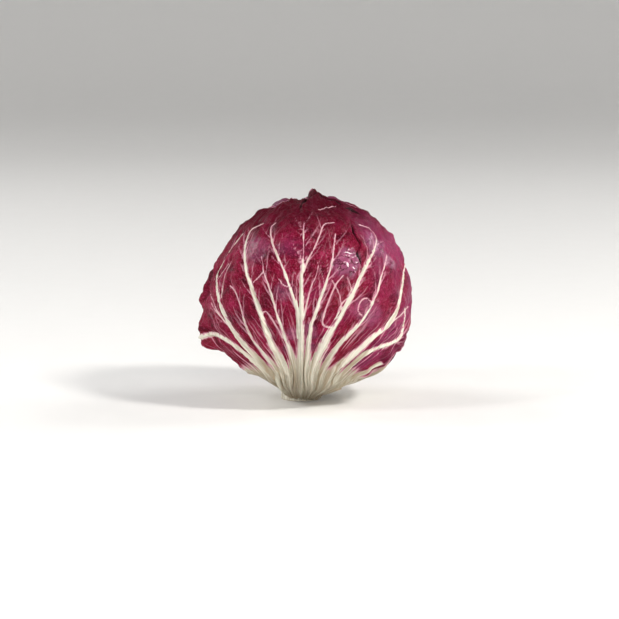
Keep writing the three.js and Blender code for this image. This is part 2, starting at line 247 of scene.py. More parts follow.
def smooth(low, high, x):
    """Eases from 0 where x is low to 1 where it is high."""
    t = np.clip((np.asarray(x, float) - low) / (high - low), 0.0, 1.0)
    return t * t * (3.0 - 2.0 * t)


def mix(a, b, t):
    return a + (b - a) * t


def bell(x, width):
    return np.exp(-((x / width) ** 2))


def through_points(points, x):
    """A curve through a few points, level at each of them."""
    x = np.asarray(x, float)
    y = np.full(x.shape, float(points[0][1]))
    for (x0, y0), (x1, y1) in zip(points, points[1:]):
        y += (y1 - y0) * smooth(x0, x1, x)
    return y


def bumps(x, places):
    """A row of bumps, each with its height, place and spread."""
    return sum(height * bell(x - at, spread) for height, at, spread in places)


def unit(vectors):
    return vectors / np.linalg.norm(vectors, axis=-1, keepdims=True)


def ripple(points, size, seed=0):
    """Smooth noise from -1 to 1 with swells about one size across."""
    shifted = np.asarray(points, float).reshape(-1, 3) / size + 17.3 * seed
    values = [noise.noise(place) for place in shifted.tolist()]
    return np.array(values).reshape(np.shape(points)[:-1])


def smooth_course(points, step=COURSE_STEP):
    """Close points on a smooth curve through a few points."""
    p = np.array(points, float)
    p = np.vstack([2 * p[0] - p[1], p, 2 * p[-1] - p[-2]])
    found = []
    for a, b, c, d in zip(p, p[1:], p[2:], p[3:]):
        count = max(2, math.ceil(np.linalg.norm(c - b) / step))
        t = np.linspace(0, 1, count, endpoint=False)[:, None]
        bend = 2 * a - 5 * b + 4 * c - d
        turn = 3 * b - a - 3 * c + d
        found.append(b + 0.5 * t * (c - a + t * (bend + t * turn)))
    found.append(p[-2][None])
    return np.vstack(found)


def rounded_off(path, count=15):
    """A course on the ball with its sharp turns rounded."""
    weights = np.hanning(count + 2)[1:-1]
    padded = np.pad(path, ((count // 2, count // 2), (0, 0)), mode="edge")
    parts = [np.convolve(column, weights / weights.sum(), "valid") for column in padded.T]
    return unit(np.stack(parts, 1))


def evened(path, step=COURSE_STEP / BALL):
    """The same course with its points a step apart."""
    gone = np.concatenate([[0], np.cumsum(np.linalg.norm(np.diff(path, axis=0), axis=1))])
    places = np.arange(0, gone[-1], step)
    return unit(np.stack([np.interp(places, gone, column) for column in path.T], 1))


class Head:
    """The round shape that all the leaves share, and how deep they lie in it."""

    def __init__(self, form):
        self.radius = form.head_radius / MM
        self.height = form.centre_height / MM
        self.side_lean = form.side_lean / MM
        self.taper = form.stem_taper
        self.layer_at_stem = form.layer_at_stem / MM
        self.layer_on_ball = form.layer_on_ball / MM

    def skin(self, directions):
        """The head's radius in these directions from its centre."""
        down = np.arccos(np.clip(-directions[..., 2], -1, 1))
        taper = self.taper * (1 - smooth(TAPER_FROM, TAPER_TO, down))
        crown = CROWN_FLATNESS * smooth(CROWN_FROM, math.pi, down)
        radius = self.radius * (1 - taper - crown) + self.side_lean * directions[..., 0]
        for around, at, height, spread in SWELLS:
            a, d = around * DEG, at * DEG
            middle = np.array([math.sin(a) * math.sin(d), -math.cos(a) * math.sin(d), -math.cos(d)])
            away = np.arccos(np.clip(directions @ middle, -1, 1))
            radius = radius + height * bell(away, spread * DEG)
        return radius

    def layer(self, directions):
        """How far one leaf lies under the next in these directions."""
        down = np.arccos(np.clip(-directions[..., 2], -1, 1))
        return mix(self.layer_at_stem, self.layer_on_ball, smooth(LAYER_FROM, LAYER_TO, down))

    def at(self, directions, radius):
        """Points at a radius from the head's centre."""
        return directions * np.asarray(radius)[..., None] + np.array([0, 0, self.height])

    def seen_from_front(self, places):
        """The directions of the nearest points on the head behind these places on the drawing plane,
        or of the points that come closest to lying behind them."""
        right, up = np.array([1, 0, 0]), np.array([0, math.sin(FRONT_TILT), math.cos(FRONT_TILT)])
        look = np.array([0, math.cos(FRONT_TILT), -math.sin(FRONT_TILT)])
        offset = np.array(places, float) - [0, self.height * math.cos(FRONT_TILT)]
        across = offset[:, :1] * right + offset[:, 1:] * up
        near = np.linspace(1.1 * self.radius, 0, SIGHT_STEPS)[:, None]
        points = across[:, None] - near * look
        above = np.linalg.norm(points, axis=-1) - self.skin(unit(points))
        row = np.arange(len(points))
        inner = np.maximum(np.argmax(above < 0, axis=1), 1)
        low, high = above[row, inner], above[row, inner - 1]
        met = mix(points[row, inner], points[row, inner - 1], (low / np.minimum(low - high, -1e-6))[:, None])
        closest = points[row, above.argmin(axis=1)]
        return unit(np.where((above < 0).any(axis=1)[:, None], met, closest))


@dataclass(frozen=True)
class Leaf:
    """One leaf: where its midrib stands, how far its tip is carried over the crown, and its margin."""

    node: str
    azimuth: float
    lean: float
    width: float
    tip_reach: float = 0
    tip_drop: float = 0
    neck: float = NECK_SHARE
    margin: tuple = ()
    ribs: tuple = ()
    waves: int = 6
    wave: float = 1.6
    folds: float = 0
    phase: float = 0
    grid: tuple = (180, 140)
    slot: str = "inner_leaf"
    seed: int = 1

    def tip(self, c):
        if self.margin:
            return through_points(self.margin, c) * DEG
        return (self.tip_reach - self.tip_drop * np.abs(c) ** 3) * DEG

    def half_width(self, reach):
        return self.width * DEG * mix(self.neck, 1, smooth(NECK_FROM, NECK_TO, reach))

    @staticmethod
    def fan_power(reach):
        fanned, evened_out = smooth(FAN_FROM, FAN_TO, reach), smooth(FAN_TO, EVEN_TO, reach)
        return 1 + FANNING * fanned - EVENING * evened_out

    def fan(self, c, reach):
        """The angle round the stem at which a place across the leaf lies."""
        return self.half_width(reach) * np.sign(c) * np.abs(c) ** self.fan_power(reach)

    def across(self, fan, reach):
        """The place across the leaf that lies at an angle round the stem."""
        share = np.clip(np.abs(fan) / self.half_width(reach), 0, 1)
        return np.sign(fan) * share ** (1 / self.fan_power(reach))

    def direction(self, fan, reach):
        """The direction from the head's centre of a place on the leaf."""
        m, t = np.tan(reach / 2), math.tan(self.lean * DEG / 2)
        across, out = m * np.sin(fan), m * np.cos(fan) - t * m * m
        far = 1 - 2 * t * m * np.cos(fan) + t * t * m * m
        scale = m * m + far
        h1, h2 = 2 * out / scale, 2 * across / scale
        sin, cos = math.sin(self.azimuth * DEG), math.cos(self.azimuth * DEG)
        return np.stack([h1 * sin + h2 * cos, h2 * sin - h1 * cos, (m * m - far) / scale], -1)

    def place(self, directions):
        """The fan and reach at which directions fall on the leaf."""
        t = math.tan(self.lean * DEG / 2)
        sin, cos = math.sin(self.azimuth * DEG), math.cos(self.azimuth * DEG)
        x, y, z = np.moveaxis(directions, -1, 0)
        h1, h2 = x * sin - y * cos, x * cos + y * sin
        w = (h1 + 1j * h2) / ((1 - z) + t * h1 + 1j * t * h2)
        return np.angle(w), 2 * np.arctan(np.abs(w))

    def outside(self, directions):
        """How far directions lie outside the margin, as an angle, and below 0 under the leaf."""
        fan, reach = self.place(directions)
        past = reach - self.tip(self.across(fan, reach))
        beside = (np.abs(fan) - self.half_width(reach)) * np.sin(reach)
        return np.maximum(past, beside)


SIDE_RIBS = (0.2, 0.42, 0.66, 0.86)
LEAVES = [
    Leaf("leaf_front", 0, 8, 97, margin=tuple(FRONT_TIP), waves=7, wave=1.5, phase=0.6,
         grid=(340, 250), slot="outer_leaf", seed=1),
    Leaf("leaf_left", -118, 16, 93, 161, 50, ribs=SIDE_RIBS, neck=WIDE_NECK_SHARE, waves=6, wave=2.2,
         phase=2.1, folds=2, grid=(280, 220), slot="outer_leaf", seed=2),
    Leaf("leaf_right", 118, 20, 92, 153, 46, ribs=SIDE_RIBS, neck=WIDE_NECK_SHARE, waves=7, wave=2.4,
         phase=4.4, folds=3, grid=(280, 220), slot="outer_leaf", seed=3),
    Leaf("leaf_inner_left", -61, 34, 86, 150, 44, ribs=(0.2, 0.42, 0.66), waves=5, phase=1.2,
         folds=2, seed=4),
    Leaf("leaf_inner_right", 60, 40, 86, 146, 42, ribs=(0.2, 0.42, 0.66), waves=6, phase=3.3,
         folds=2, seed=5),
    Leaf("leaf_inner_back", 186, 44, 88, 147, 42, ribs=(0.2, 0.42, 0.66), waves=5, phase=5.0,
         folds=2, seed=6),
]
HEART_LEAVES = [
    Leaf("heart", 25, 46, 80, 150, 40, ribs=(0.3, 0.62), grid=(110, 90), seed=7),
    Leaf("heart", 150, 38, 82, 150, 40, ribs=(0.3, 0.62), grid=(110, 90), seed=8),
    Leaf("heart", -95, 50, 80, 146, 40, ribs=(0.3, 0.62), grid=(110, 90), seed=9),
]


def tuck(head, outer, directions):
    """How deep directions lie under the leaves outside, and how open they are to view."""
    cover, nearest = np.zeros(directions.shape[:-1]), np.full(directions.shape[:-1], math.pi)
    for leaf in outer:
        outside = leaf.outside(directions)
        cover += 1 - smooth(TUCK_FROM, TUCK_TO, outside)
        nearest = np.minimum(nearest, outside)
    return head.layer(directions) * cover, smooth(TUCK_FROM, OPEN_TO, nearest)


def leaf_grid(head, leaf, outer, detail):
    """The leaf's places, closer together towards its sides."""
    columns, rows = (max(2, round(n * detail / INNER_STEP)) * INNER_STEP for n in leaf.grid)
    s = np.linspace(-1, 1, columns + 1)
    c, v = np.meshgrid(s * (1 + SIDE_CROWDING - SIDE_CROWDING * s**2), np.linspace(0, 1, rows + 1))
    reach = mix(LEAF_ROOT, leaf.tip(c), v)
    fan = leaf.fan(c, reach)
    direction = leaf.direction(fan, reach)
    depth, open_ = tuck(head, outer, direction)
    return Grid(c, v, reach, fan, direction, depth, open_)


# ---------------------------------------------------------------- veins


def stalk(leaf, direction, thick):
    """A rib's stretch from the leaf's root to the first place of its course."""
    fan, reach = leaf.place(direction)
    c = leaf.across(fan, reach)
    reaches = np.arange(LEAF_ROOT, reach, COURSE_STEP / BALL)
    half = mix(0.5, thick, np.linspace(0, 1, len(reaches)))
    return leaf.direction(leaf.fan(c, reaches), reaches), half


def drawn_vein(head, leaf, thick, thin, course, rooted):
    """A vein of the front leaf along a drawn course, with uneven sides."""
    path = evened(rounded_off(head.seen_from_front(smooth_course(course))))
    half = mix(thick, thin, np.linspace(0, 1, len(path)) ** 0.8)
    half *= 1 + 0.25 * ripple(path * BALL, 7.0, 31) + 0.22 * ripple(path * BALL, 2.2, 32)
    if rooted:
        foot, foot_half = stalk(leaf, path[0], thick)
        path, half = np.vstack([foot, path]), np.concatenate([foot_half, half])
    return Vein(path, half)


def fan_ribs(leaf, thick=1.9, thin=0.25):
    """Ribs that run from the root to near the margin, each with its own slow bends."""
    ribs = []
    for c in [0, *leaf.ribs, *(-c for c in leaf.ribs)]:
        end = leaf.tip(c) * (0.96 - 0.1 * abs(c))
        reach = np.arange(LEAF_ROOT, end, COURSE_STEP / BALL)
        along = (reach - LEAF_ROOT) / (end - LEAF_ROOT)
        bend = 0.022 * np.sin(along * 7 + 9 * c + leaf.seed) * smooth(0.1, 0.4, along)
        middle = 1.25 if c == 0 else 1 - 0.35 * abs(c)
        half = middle * mix(thick, thin, along**0.8) * mix(0.35, 1, smooth(0, 0.25, along))
        ribs.append(Vein(leaf.direction(leaf.fan(c + bend, reach), reach), half))
    return ribs


def vein_tree(veins):
    """Every point of some veins, to search by nearness, and the half width at each."""
    widths = np.concatenate([vein.half for vein in veins])
    tree = kdtree.KDTree(len(widths))
    for index, point in enumerate(np.vstack([vein.path for vein in veins]) * BALL):
        tree.insert(point, index)
    tree.balance()
    return tree, widths


def nearest_vein(veins, directions):
    """How far each direction is from the nearest vein, and that vein's half width there."""
    tree, widths = vein_tree(veins)
    found = [tree.find(point)[1:] for point in (directions.reshape(-1, 3) * BALL).tolist()]
    index, away = np.array(found).T
    away = away.reshape(directions.shape[:-1])
    half = widths[index.astype(int)].reshape(away.shape)
    return Nearest(away, half, away - np.maximum(half, THINNEST))


def wandering(spot, heading, tip, rng):
    """The spots on the ball of a course that sways and bends slowly towards the tip."""
    sway = 0.0
    while True:
        normal = spot.normalized()
        sway += rng.normal(0, SWAY)
        up = (tip - spot).normalized()
        heading = heading + TIP_PULL * up + TURN * sway * normal.cross(heading)
        heading = (heading - heading.dot(normal) * normal).normalized()
        spot = (spot + heading * COURSE_STEP).normalized() * BALL
        yield spot


def grow_from(parents, leaf, rng, gap, length, angle, half, from_half=0.0, least=2.4):
    """Side veins that leave their parents on alternate sides at a slant and end where they meet."""
    crowd, widths = vein_tree(parents)
    tip = Vector(leaf.direction(np.array(0.0), np.array(math.pi - 0.01))) * BALL
    grown, taken = [], {}
    for vein in parents:
        side, at = rng.choice([-1, 1]), rng.uniform(0.3, 1) * gap
        while at / COURSE_STEP < len(vein.path) - 3:
            i = int(at / COURSE_STEP)
            at += gap * rng.uniform(0.6, 1.4)
            side = -side
            if vein.half[i] < from_half:
                continue
            heading = (Vector(vein.path[i + 2]) - Vector(vein.path[i])).normalized()
            slant = angle * mix(0.6, 1.25, float(smooth(-0.45, 0.45, vein.path[i][2])))
            start = Vector(vein.path[i]) * BALL
            heading.rotate(Quaternion(start.normalized(), side * slant * rng.uniform(0.7, 1.3)))
            steps = range(int(length * rng.uniform(0.45, 1.3) / COURSE_STEP))
            points = []
            for k, spot in zip(steps, wandering(start, heading, tip, rng)):
                _, index, away = crowd.find(spot)
                cell = tuple(round(x / VEIN_SPACING) for x in spot)
                met = taken.setdefault(cell, len(grown)) != len(grown)
                may_end = k * COURSE_STEP > ENDS_AFTER + vein.half[i]
                if may_end and (met or away < widths[index] + MEETING_GAP):
                    break
                points.append(tuple(spot / BALL))
            if len(points) * COURSE_STEP > least:
                thick = min(half, vein.half[i] * 0.7)
                half_widths = mix(thick, thick * 0.45, np.linspace(0, 1, len(points)))
                grown.append(Vein(np.array(points), half_widths))
    return grown


def veins_of(head, leaf):
    """The leaf's ribs, the branches of those, and the fine veins between."""
    rng = np.random.default_rng(40 + leaf.seed)
    if leaf.margin:
        ribs = [drawn_vein(head, leaf, *rib, rooted=True) for rib in FRONT_RIBS]
        branches = [drawn_vein(head, leaf, *rib, rooted=False) for rib in FRONT_BRANCHES]
    else:
        ribs = fan_ribs(leaf)
        branches = grow_from(ribs, leaf, rng, gap=17, length=26, angle=0.5, half=0.6)
    twigs = grow_from(ribs + branches, leaf, rng, gap=5.2, length=17, angle=0.38, half=0.34)
    twigs += grow_from(ribs + branches + twigs, leaf, rng, gap=6.0, length=8, angle=0.5, half=0.2)
    twigs += grow_from(ribs, leaf, rng, gap=1.4, length=4.4, angle=0.4, half=0.42, from_half=0.6, least=1.2)
    return ribs, branches, twigs


# ---------------------------------------------------------------- blades


def margin_relief(leaf, g, edge):
    """Waves, lobes and folds that lift the margin and the sides off the head."""
    side = np.abs(g.c)
    near = np.maximum(smooth(0.8, 1, g.v), smooth(0.86, 1, side) * smooth(0.2, 0.5, g.v))
    turn = np.where(g.c > 0, 1.3, -1.3)
    slow = leaf.wave * near * (0.5 + 0.5 * np.sin(leaf.waves * (g.c * 2.2 + g.v * turn) + leaf.phase))
    ruffle = bell(edge, 5.0) * smooth(0.15, 0.4, g.v)
    spots = g.direction * BALL
    crimp = ripple(spots, 7.5, leaf.seed) * 1.5 + ripple(spots, 3.2, leaf.seed) * 0.7
    if leaf.margin:
        flap = bumps(g.c, FRONT_CORNERS) * smooth(0.93, 1, g.v)
        left = smooth(-0.8, -1, g.c) * bumps(g.v, FRONT_LOBES)
        right = smooth(0.8, 1, g.c) * bell(g.v - 0.55, 0.16) * (1.8 + 1.2 * np.sin(g.v * 60))
        flare = flap + left + right
    else:
        fold = 0.5 + 0.5 * np.sin(g.v * 21 + g.c * 3 + leaf.phase)
        flare = leaf.folds * fold * bell(g.v - 0.42, 0.2)
    return (slow + flare) * g.open**2 + crimp * ruffle * mix(0.25, 1, g.open)


def margin_distance(leaf, g):
    """Roughly how many millimetres each place is from the margin."""
    length = (leaf.tip(g.c) - LEAF_ROOT) * BALL
    width = leaf.half_width(g.reach) * np.sin(g.reach) * BALL
    across = (1 - np.abs(g.c)) * width
    along = (1 - g.v) * length
    return np.minimum(across, along)


def split_field(head, g, splits):
    """The depth of the splits at each place, and a lip that stands up beside them."""
    groove, lip = np.zeros(g.c.shape), np.zeros(g.c.shape)
    for half, depth, course in splits:
        path = evened(head.seen_from_front(smooth_course(course)))
        ends = np.sin(np.linspace(0.12, math.pi - 0.12, len(path)))
        split = nearest_vein([Vein(path, half * ends)], g.direction)
        groove = np.maximum(groove, depth * (1 - smooth(0.25, 1.6, split.away / split.half)))
        lip = np.maximum(lip, 0.5 * bell(split.away - 1.5, 0.9) * smooth(0.2, 0.5, split.half))
    return groove, lip


def patches(head, spots, places):
    """How strongly each spot lies in uneven patches about some places on the front."""
    uneven = 1 + 0.5 * ripple(spots, 9.0, 71) + 0.25 * ripple(spots, 3.5, 72)
    found = np.zeros(spots.shape[:-1])
    for place, size, strength in places:
        away = np.linalg.norm(spots - head.seen_from_front([place])[0] * BALL, axis=-1)
        found = np.maximum(found, strength * (1 - smooth(0.6, 1.2, away / (size * uneven))))
    return found


def worn_sheen_and_dark(head, leaf, g, spots):
    """Where the blade is paler, as rubbed wax and painted sheen, and where it is darkest, as darker tone and
    painted shade.
    """
    if leaf.margin:
        return patches(head, spots, WORN_AND_SHEEN_PATCHES), patches(head, spots, DARK_PATCHES)
    worn = 0.5 * smooth(0.1, 0.5, ripple(spots, 22.0, leaf.seed + 50))
    # Painted sheen near the crown, where light would catch the leaf's edge.
    crown = 0.75 * smooth(0.72, 0.9, g.v) * smooth(-0.25, 0.2, ripple(spots, 9.0, 73))
    dark = 0.6 * smooth(0.15, 0.5, ripple(spots, 15.0, leaf.seed + 90))
    return np.maximum(worn, crown), dark


def pale_field(leaf, g, spots, rib):
    """How pale the blade is: the base, and a halo beside each rib that fades on the way up."""
    side = g.c**2
    low = 0 if leaf.margin else 9 + 4 * ripple(spots, 16.0, leaf.seed + 80)
    near = smooth((54 - 12 * side - low) * DEG, (75 - 10 * side - 0.6 * low) * DEG, g.reach)
    up = smooth(58 * DEG, 95 * DEG, g.reach)
    halo = mix(5.5 if leaf.margin else 8.0, 1.1, up) * mix(0.5, 1.1, smooth(0.4, 1.7, rib.half))
    glow = (1 - smooth(0, 1, np.maximum(rib.edge, 0) / halo)) * mix(0.85, 0.3, up)
    return np.maximum(1 - near, glow)


def blade_swell(head, leaf, g, spots, blade, vein_edge, twig):
    """How far the blade swells and puckers between its veins, in millimetres."""
    panel = smooth(0, 4.0, vein_edge)
    pucker = 0.9 * ripple(spots, 8.5, leaf.seed) - 0.6 * np.abs(ripple(spots, 5.0, leaf.seed + 3))
    pucker = pucker + 0.2 * ripple(spots, 2.0, leaf.seed + 5)
    pillow = TWIG_SWELL * smooth(0, 2.6, twig.away)
    swell = blade * (PANEL_SWELL * panel + pillow + pucker * mix(0.4, 1, panel))
    rays = np.stack([g.fan * 14, g.reach * 3, np.full(g.c.shape, leaf.seed * 5.0)], -1)
    swell = swell + RAY_SWELL * smooth(0.72, 0.92, g.v) * ripple(rays, 1.0)
    if leaf.margin:
        middle = head.seen_from_front([CRUMPLE])[0]
        crumpled = bell(np.linalg.norm(spots - middle * BALL, axis=-1), CRUMPLE_SIZE)
        swell = swell + crumpled * (0.5 * ripple(spots, 3.0, 61) - 0.8 * np.abs(ripple(spots, 5.0, 62)))
    return swell


def base_ridges(leaf, g, blade):
    """Fine ridges that run up the base between the ribs."""
    lanes = np.stack([g.c * RIDGE_LANES, g.v * RIDGE_BREAKS, np.full(g.c.shape, leaf.seed * 3.0)], -1)
    return (1 - blade) * smooth(0.02, 0.2, g.v) * (ripple(lanes, 1.0) + 0.6 * ripple(lanes, 3.1, 2))


def vein_relief(blade, rib, branch, twig):
    """How far the veins stand out of the blade."""
    ribs = RIB_RELIEF * rib.half * (1 - smooth(0.1, 1.4, rib.away / rib.half))
    branches = BRANCH_RELIEF * branch.half * (1 - smooth(0, 1.5, branch.away / branch.half))
    twigs = TWIG_RELIEF * (1 - smooth(0, 2.4, twig.away / twig.half))
    return np.maximum(ribs, branches) + blade * twigs


def leaf_faces(head, g, edge, raised, lowered):
    """The points of a leaf's outer and inner face, with its root drawn down onto the stem."""
    thickness = mix(TIP_THICKNESS, BASE_THICKNESS, (1 - g.v) ** 2) * mix(0.75, 1, smooth(0, 3, edge))
    drop = ROOT_DROP * (1 - smooth(0, 0.075, g.v)) * smooth(2.2, 0, g.depth)
    faces = [head.at(g.direction, radius) for radius in (raised, lowered - thickness)]
    for points in faces:
        points[..., 2] -= drop
    return faces


def leaf_shape(head, leaf, outer, detail):
    """The outer and inner faces of a leaf, and what its material reads at each place."""
    g = leaf_grid(head, leaf, outer, detail)
    spots = g.direction * BALL
    rib, branch, twig = (nearest_vein(veins, g.direction) for veins in veins_of(head, leaf))
    edge = margin_distance(leaf, g)
    blade = smooth(BLADE_FROM, BLADE_TO, g.reach)
    worn, dark = worn_sheen_and_dark(head, leaf, g, spots)
    groove, lip = split_field(head, g, FRONT_SPLITS) if leaf.margin else (0 * edge, 0 * edge)

    shown = mix(COVERED_RELIEF, 1, g.open)
    swell = blade_swell(head, leaf, g, spots, blade, np.minimum(rib.edge, branch.edge), twig)
    ridges = base_ridges(leaf, g, blade)
    skin = head.skin(g.direction) - g.depth + margin_relief(leaf, g, edge) + swell * shown
    raised = skin + (vein_relief(blade, rib, branch, twig) + ridges) * shown - groove + lip
    outside, inside = leaf_faces(head, g, edge, raised, skin - groove)

    softness = [vein.edge / mix(0.42, 1, smooth(0.3, 1.3, vein.half)) for vein in (rib, branch)]
    strength = [mix(0.66, 1, smooth(0.2, 0.9, vein.half)) * (1 - smooth(0.3, 1.2, vein.edge))
                for vein in (rib, branch)]
    fields = {
        "rib": np.clip(np.minimum(*softness), -2, 4),
        "strength": np.maximum(np.maximum(*strength), 0.66),
        "twig": np.clip(twig.edge, -1, 3),
        "twig_weight": np.clip(twig.half / 0.34, 0.3, 1) * mix(1, 0.3, smooth(0.8, 0.92, g.v)),
        # The low places between the base's ridges, where shade is painted.
        "groove": smooth(0.05, -0.35, ridges),
        "pale": pale_field(leaf, g, spots, rib),
        "margin": np.clip(edge, 0, 12),
        # How deep the splits are, which sets their painted shade.
        "split": np.clip(groove, 0, 2),
        "worn": worn * blade,
        # Darker patches: on the front leaf partly painted shade, elsewhere darker tone at random.
        "dark": dark,
        "place": np.stack([g.c * GRAIN_WIDTH, g.reach * BALL, np.full(g.c.shape, leaf.seed * 37.0)], -1),
    }
    return outside, inside, fields


# ---------------------------------------------------------------- meshes


def ring_of(columns, rows):
    """The grid places round the rim, going round the outer face anticlockwise."""
    ring = [(i, 0) for i in range(columns)] + [(columns, j) for j in range(rows)]
    return ring + [(i, rows) for i in range(columns, 0, -1)] + [(0, j) for j in range(rows, 0, -1)]


def face_quads(columns, rows, first, outwards):
    """The quads of one face of a blade."""
    i, j = np.meshgrid(np.arange(columns), np.arange(rows))
    corner = (first + j * (columns + 1) + i).ravel()
    quads = np.stack([corner, corner + 1, corner + columns + 2, corner + columns + 1], 1)
    return quads if outwards else quads[:, ::-1]


def spread(columns, rows, low, high):
    """The bake places of a grid, spread over the width of the sheet between two heights."""
    i, j = np.meshgrid(np.linspace(0.004, 0.996, columns + 1), np.linspace(low, high, rows + 1))
    return np.stack([i.ravel(), j.ravel()], 1)


def blade_parts(outer, inner):
    """Vertices, faces and bake places of a closed blade whose inner face has fewer points."""
    step = INNER_STEP
    rows, columns = outer.shape[0] - 1, outer.shape[1] - 1
    inner = inner[::step, ::step]
    low_rows, low_columns = rows // step, columns // step
    first = outer.shape[0] * outer.shape[1]
    upper = face_quads(columns, rows, 0, True)
    lower = face_quads(low_columns, low_rows, first, False)
    ring = [j * (columns + 1) + i for i, j in ring_of(columns, rows)]
    low_ring = [first + j * (low_columns + 1) + i for i, j in ring_of(low_columns, low_rows)]
    rim, rim_places = [], []
    ring.append(ring[0])
    low_ring.append(low_ring[0])
    for k in range(len(low_ring) - 1):
        fine = ring[k * step:(k + 1) * step + 1]
        rim.append([*reversed(fine), low_ring[k], low_ring[k + 1]])
        along = [(k * step + n) / (len(ring) - 1) for n in range(step + 1)]
        rim_places += [(x, 0.15) for x in reversed(along)]
        rim_places += [(along[0], 0.13), (along[-1], 0.13)]
    flat = np.vstack([spread(columns, rows, 0.165, 0.996), spread(low_columns, low_rows, 0.004, 0.12)])
    bake = np.vstack([flat[upper.ravel()], flat[lower.ravel()], np.array(rim_places)])
    points = np.vstack([outer.reshape(-1, 3), inner.reshape(-1, 3)])
    return points, upper.tolist() + lower.tolist() + rim, bake


def band(rings, count):
    """The quads between closed rings of points, each ring joined to the next."""
    j, i = np.meshgrid(np.arange(rings - 1) * count, np.arange(count), indexing="ij")
    n = (i + 1) % count
    return np.stack([j + i, j + n, j + count + n, j + count + i], -1).reshape(-1, 4).tolist()


def add_fields(mesh, fields):
    for name, values in fields.items():
        if values.ndim == 2:
            mesh.attributes.new(name, "FLOAT_VECTOR", "POINT").data.foreach_set("vector", values.ravel())
        else:
            mesh.attributes.new(name, "FLOAT", "POINT").data.foreach_set("value", values)


def add_piece(name, points, faces, bake=None, fields=None):
    """A smooth mesh object from points in millimetres."""
    mesh = bpy.data.meshes.new(name)
    mesh.from_pydata((points * MM).tolist(), [], faces)
    mesh.polygons.foreach_set("use_smooth", [True] * len(mesh.polygons))
    if bake is not None:
        mesh.uv_layers.new(name="OFBake").data.foreach_set("uv", bake.ravel())
    add_fields(mesh, fields or {})
    mesh.update()
    piece = bpy.data.objects.new(name, mesh)
    bpy.context.scene.collection.objects.link(piece)
    return piece


def grown_leaf(head, leaf, outer, detail):
    """A leaf's mesh parts, with every field at each vertex."""
    outside, inside, fields = leaf_shape(head, leaf, outer, detail)
    at_points = {}
    for name, values in fields.items():
        shape = (-1, 3) if values.ndim == 3 else (-1,)
        both = [values.reshape(shape), values[::INNER_STEP, ::INNER_STEP].reshape(shape)]
        at_points[name] = np.concatenate(both)
    return *blade_parts(outside, inside), at_points


def settle(piece, node, slot, material):
    """Puts a piece in the place of its solid, in its material."""
    piece.data.materials.append(material)
    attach(piece, BODY)
    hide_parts(node)


# ---------------------------------------------------------------- materials


class Wiring:
    """Adds nodes to a tree and links them as it goes."""

    def __init__(self, tree):
        self.tree = tree
        tree.nodes.clear()

    def add(self, kind, inputs=None, **settings):
        node = self.tree.nodes.new(kind)
        for name, value in settings.items():
            setattr(node, name, value)
        for name, value in (inputs or {}).items():
            self.put(node.inputs[name], value)
        return node

    def put(self, socket, value):
        if isinstance(value, bpy.types.NodeSocket):
            self.tree.links.new(value, socket)
        else:
            socket.default_value = (*value, 1) if isinstance(value, Color) else value

    def math(self, operation, a, b=0.0, clamp=False):
        return self.add("ShaderNodeMath", {0: a, 1: b}, operation=operation, use_clamp=clamp).outputs[0]

    def times(self, a, b):
        return self.math("MULTIPLY", a, b)

    def plus(self, a, b):
        return self.math("ADD", a, b)

    def less(self, a, b):
        return self.math("SUBTRACT", a, b)

    def most(self, mask, *others):
        for other in others:
            mask = self.math("MAXIMUM", mask, other)
        return mask

    def between(self, value, low, high, to_low=0.0, to_high=1.0):
        """Eases value from one range to another."""
        inputs = {"Value": value, "From Min": low, "From Max": high, "To Min": to_low, "To Max": to_high}
        return self.add("ShaderNodeMapRange", inputs, interpolation_type="SMOOTHSTEP").outputs[0]

    def layered(self, color, *layers):
        """Lays colours over one another, each by its mask."""
        for mask, over in layers:
            inputs = {0: mask, 6: color, 7: over}
            color = self.add("ShaderNodeMix", inputs, data_type="RGBA", clamp_factor=True).outputs[2]
        return color

    def field(self, name, output="Fac"):
        return self.add("ShaderNodeAttribute", attribute_name=name).outputs[output]

    def noise(self, vector, size, detail=3.0, roughness=0.55):
        inputs = {"Vector": vector, "Scale": 1 / size, "Detail": detail, "Roughness": roughness}
        return self.add("ShaderNodeTexNoise", inputs).outputs["Fac"]

    def stretch(self, vector, scale):
        inputs = {0: vector, 1: scale}
        return self.add("ShaderNodeVectorMath", inputs, operation="MULTIPLY").outputs[0]


def new_group(name, inputs, outputs):
    """A node group with nothing but its sockets: its wiring, its inputs and its outputs."""
    tree = bpy.data.node_groups.new(name, "ShaderNodeTree")
    kinds = {"float": "NodeSocketFloat", "color": "NodeSocketColor", "vector": "NodeSocketVector"}
    for label, kind, value in inputs:
        socket = tree.interface.new_socket(label, in_out="INPUT", socket_type=kinds[kind])
        if value is not None:
            socket.default_value = value
    for label, kind in outputs:
        tree.interface.new_socket(label, in_out="OUTPUT", socket_type=kinds[kind])
    wiring = Wiring(tree)
    return wiring, wiring.add("NodeGroupInput").outputs, wiring.add("NodeGroupOutput").inputs


def give(w, out, results):
    """Links a group's results to its outputs."""
    for label, value in results.items():
        w.put(out[label], value)
    return w.tree


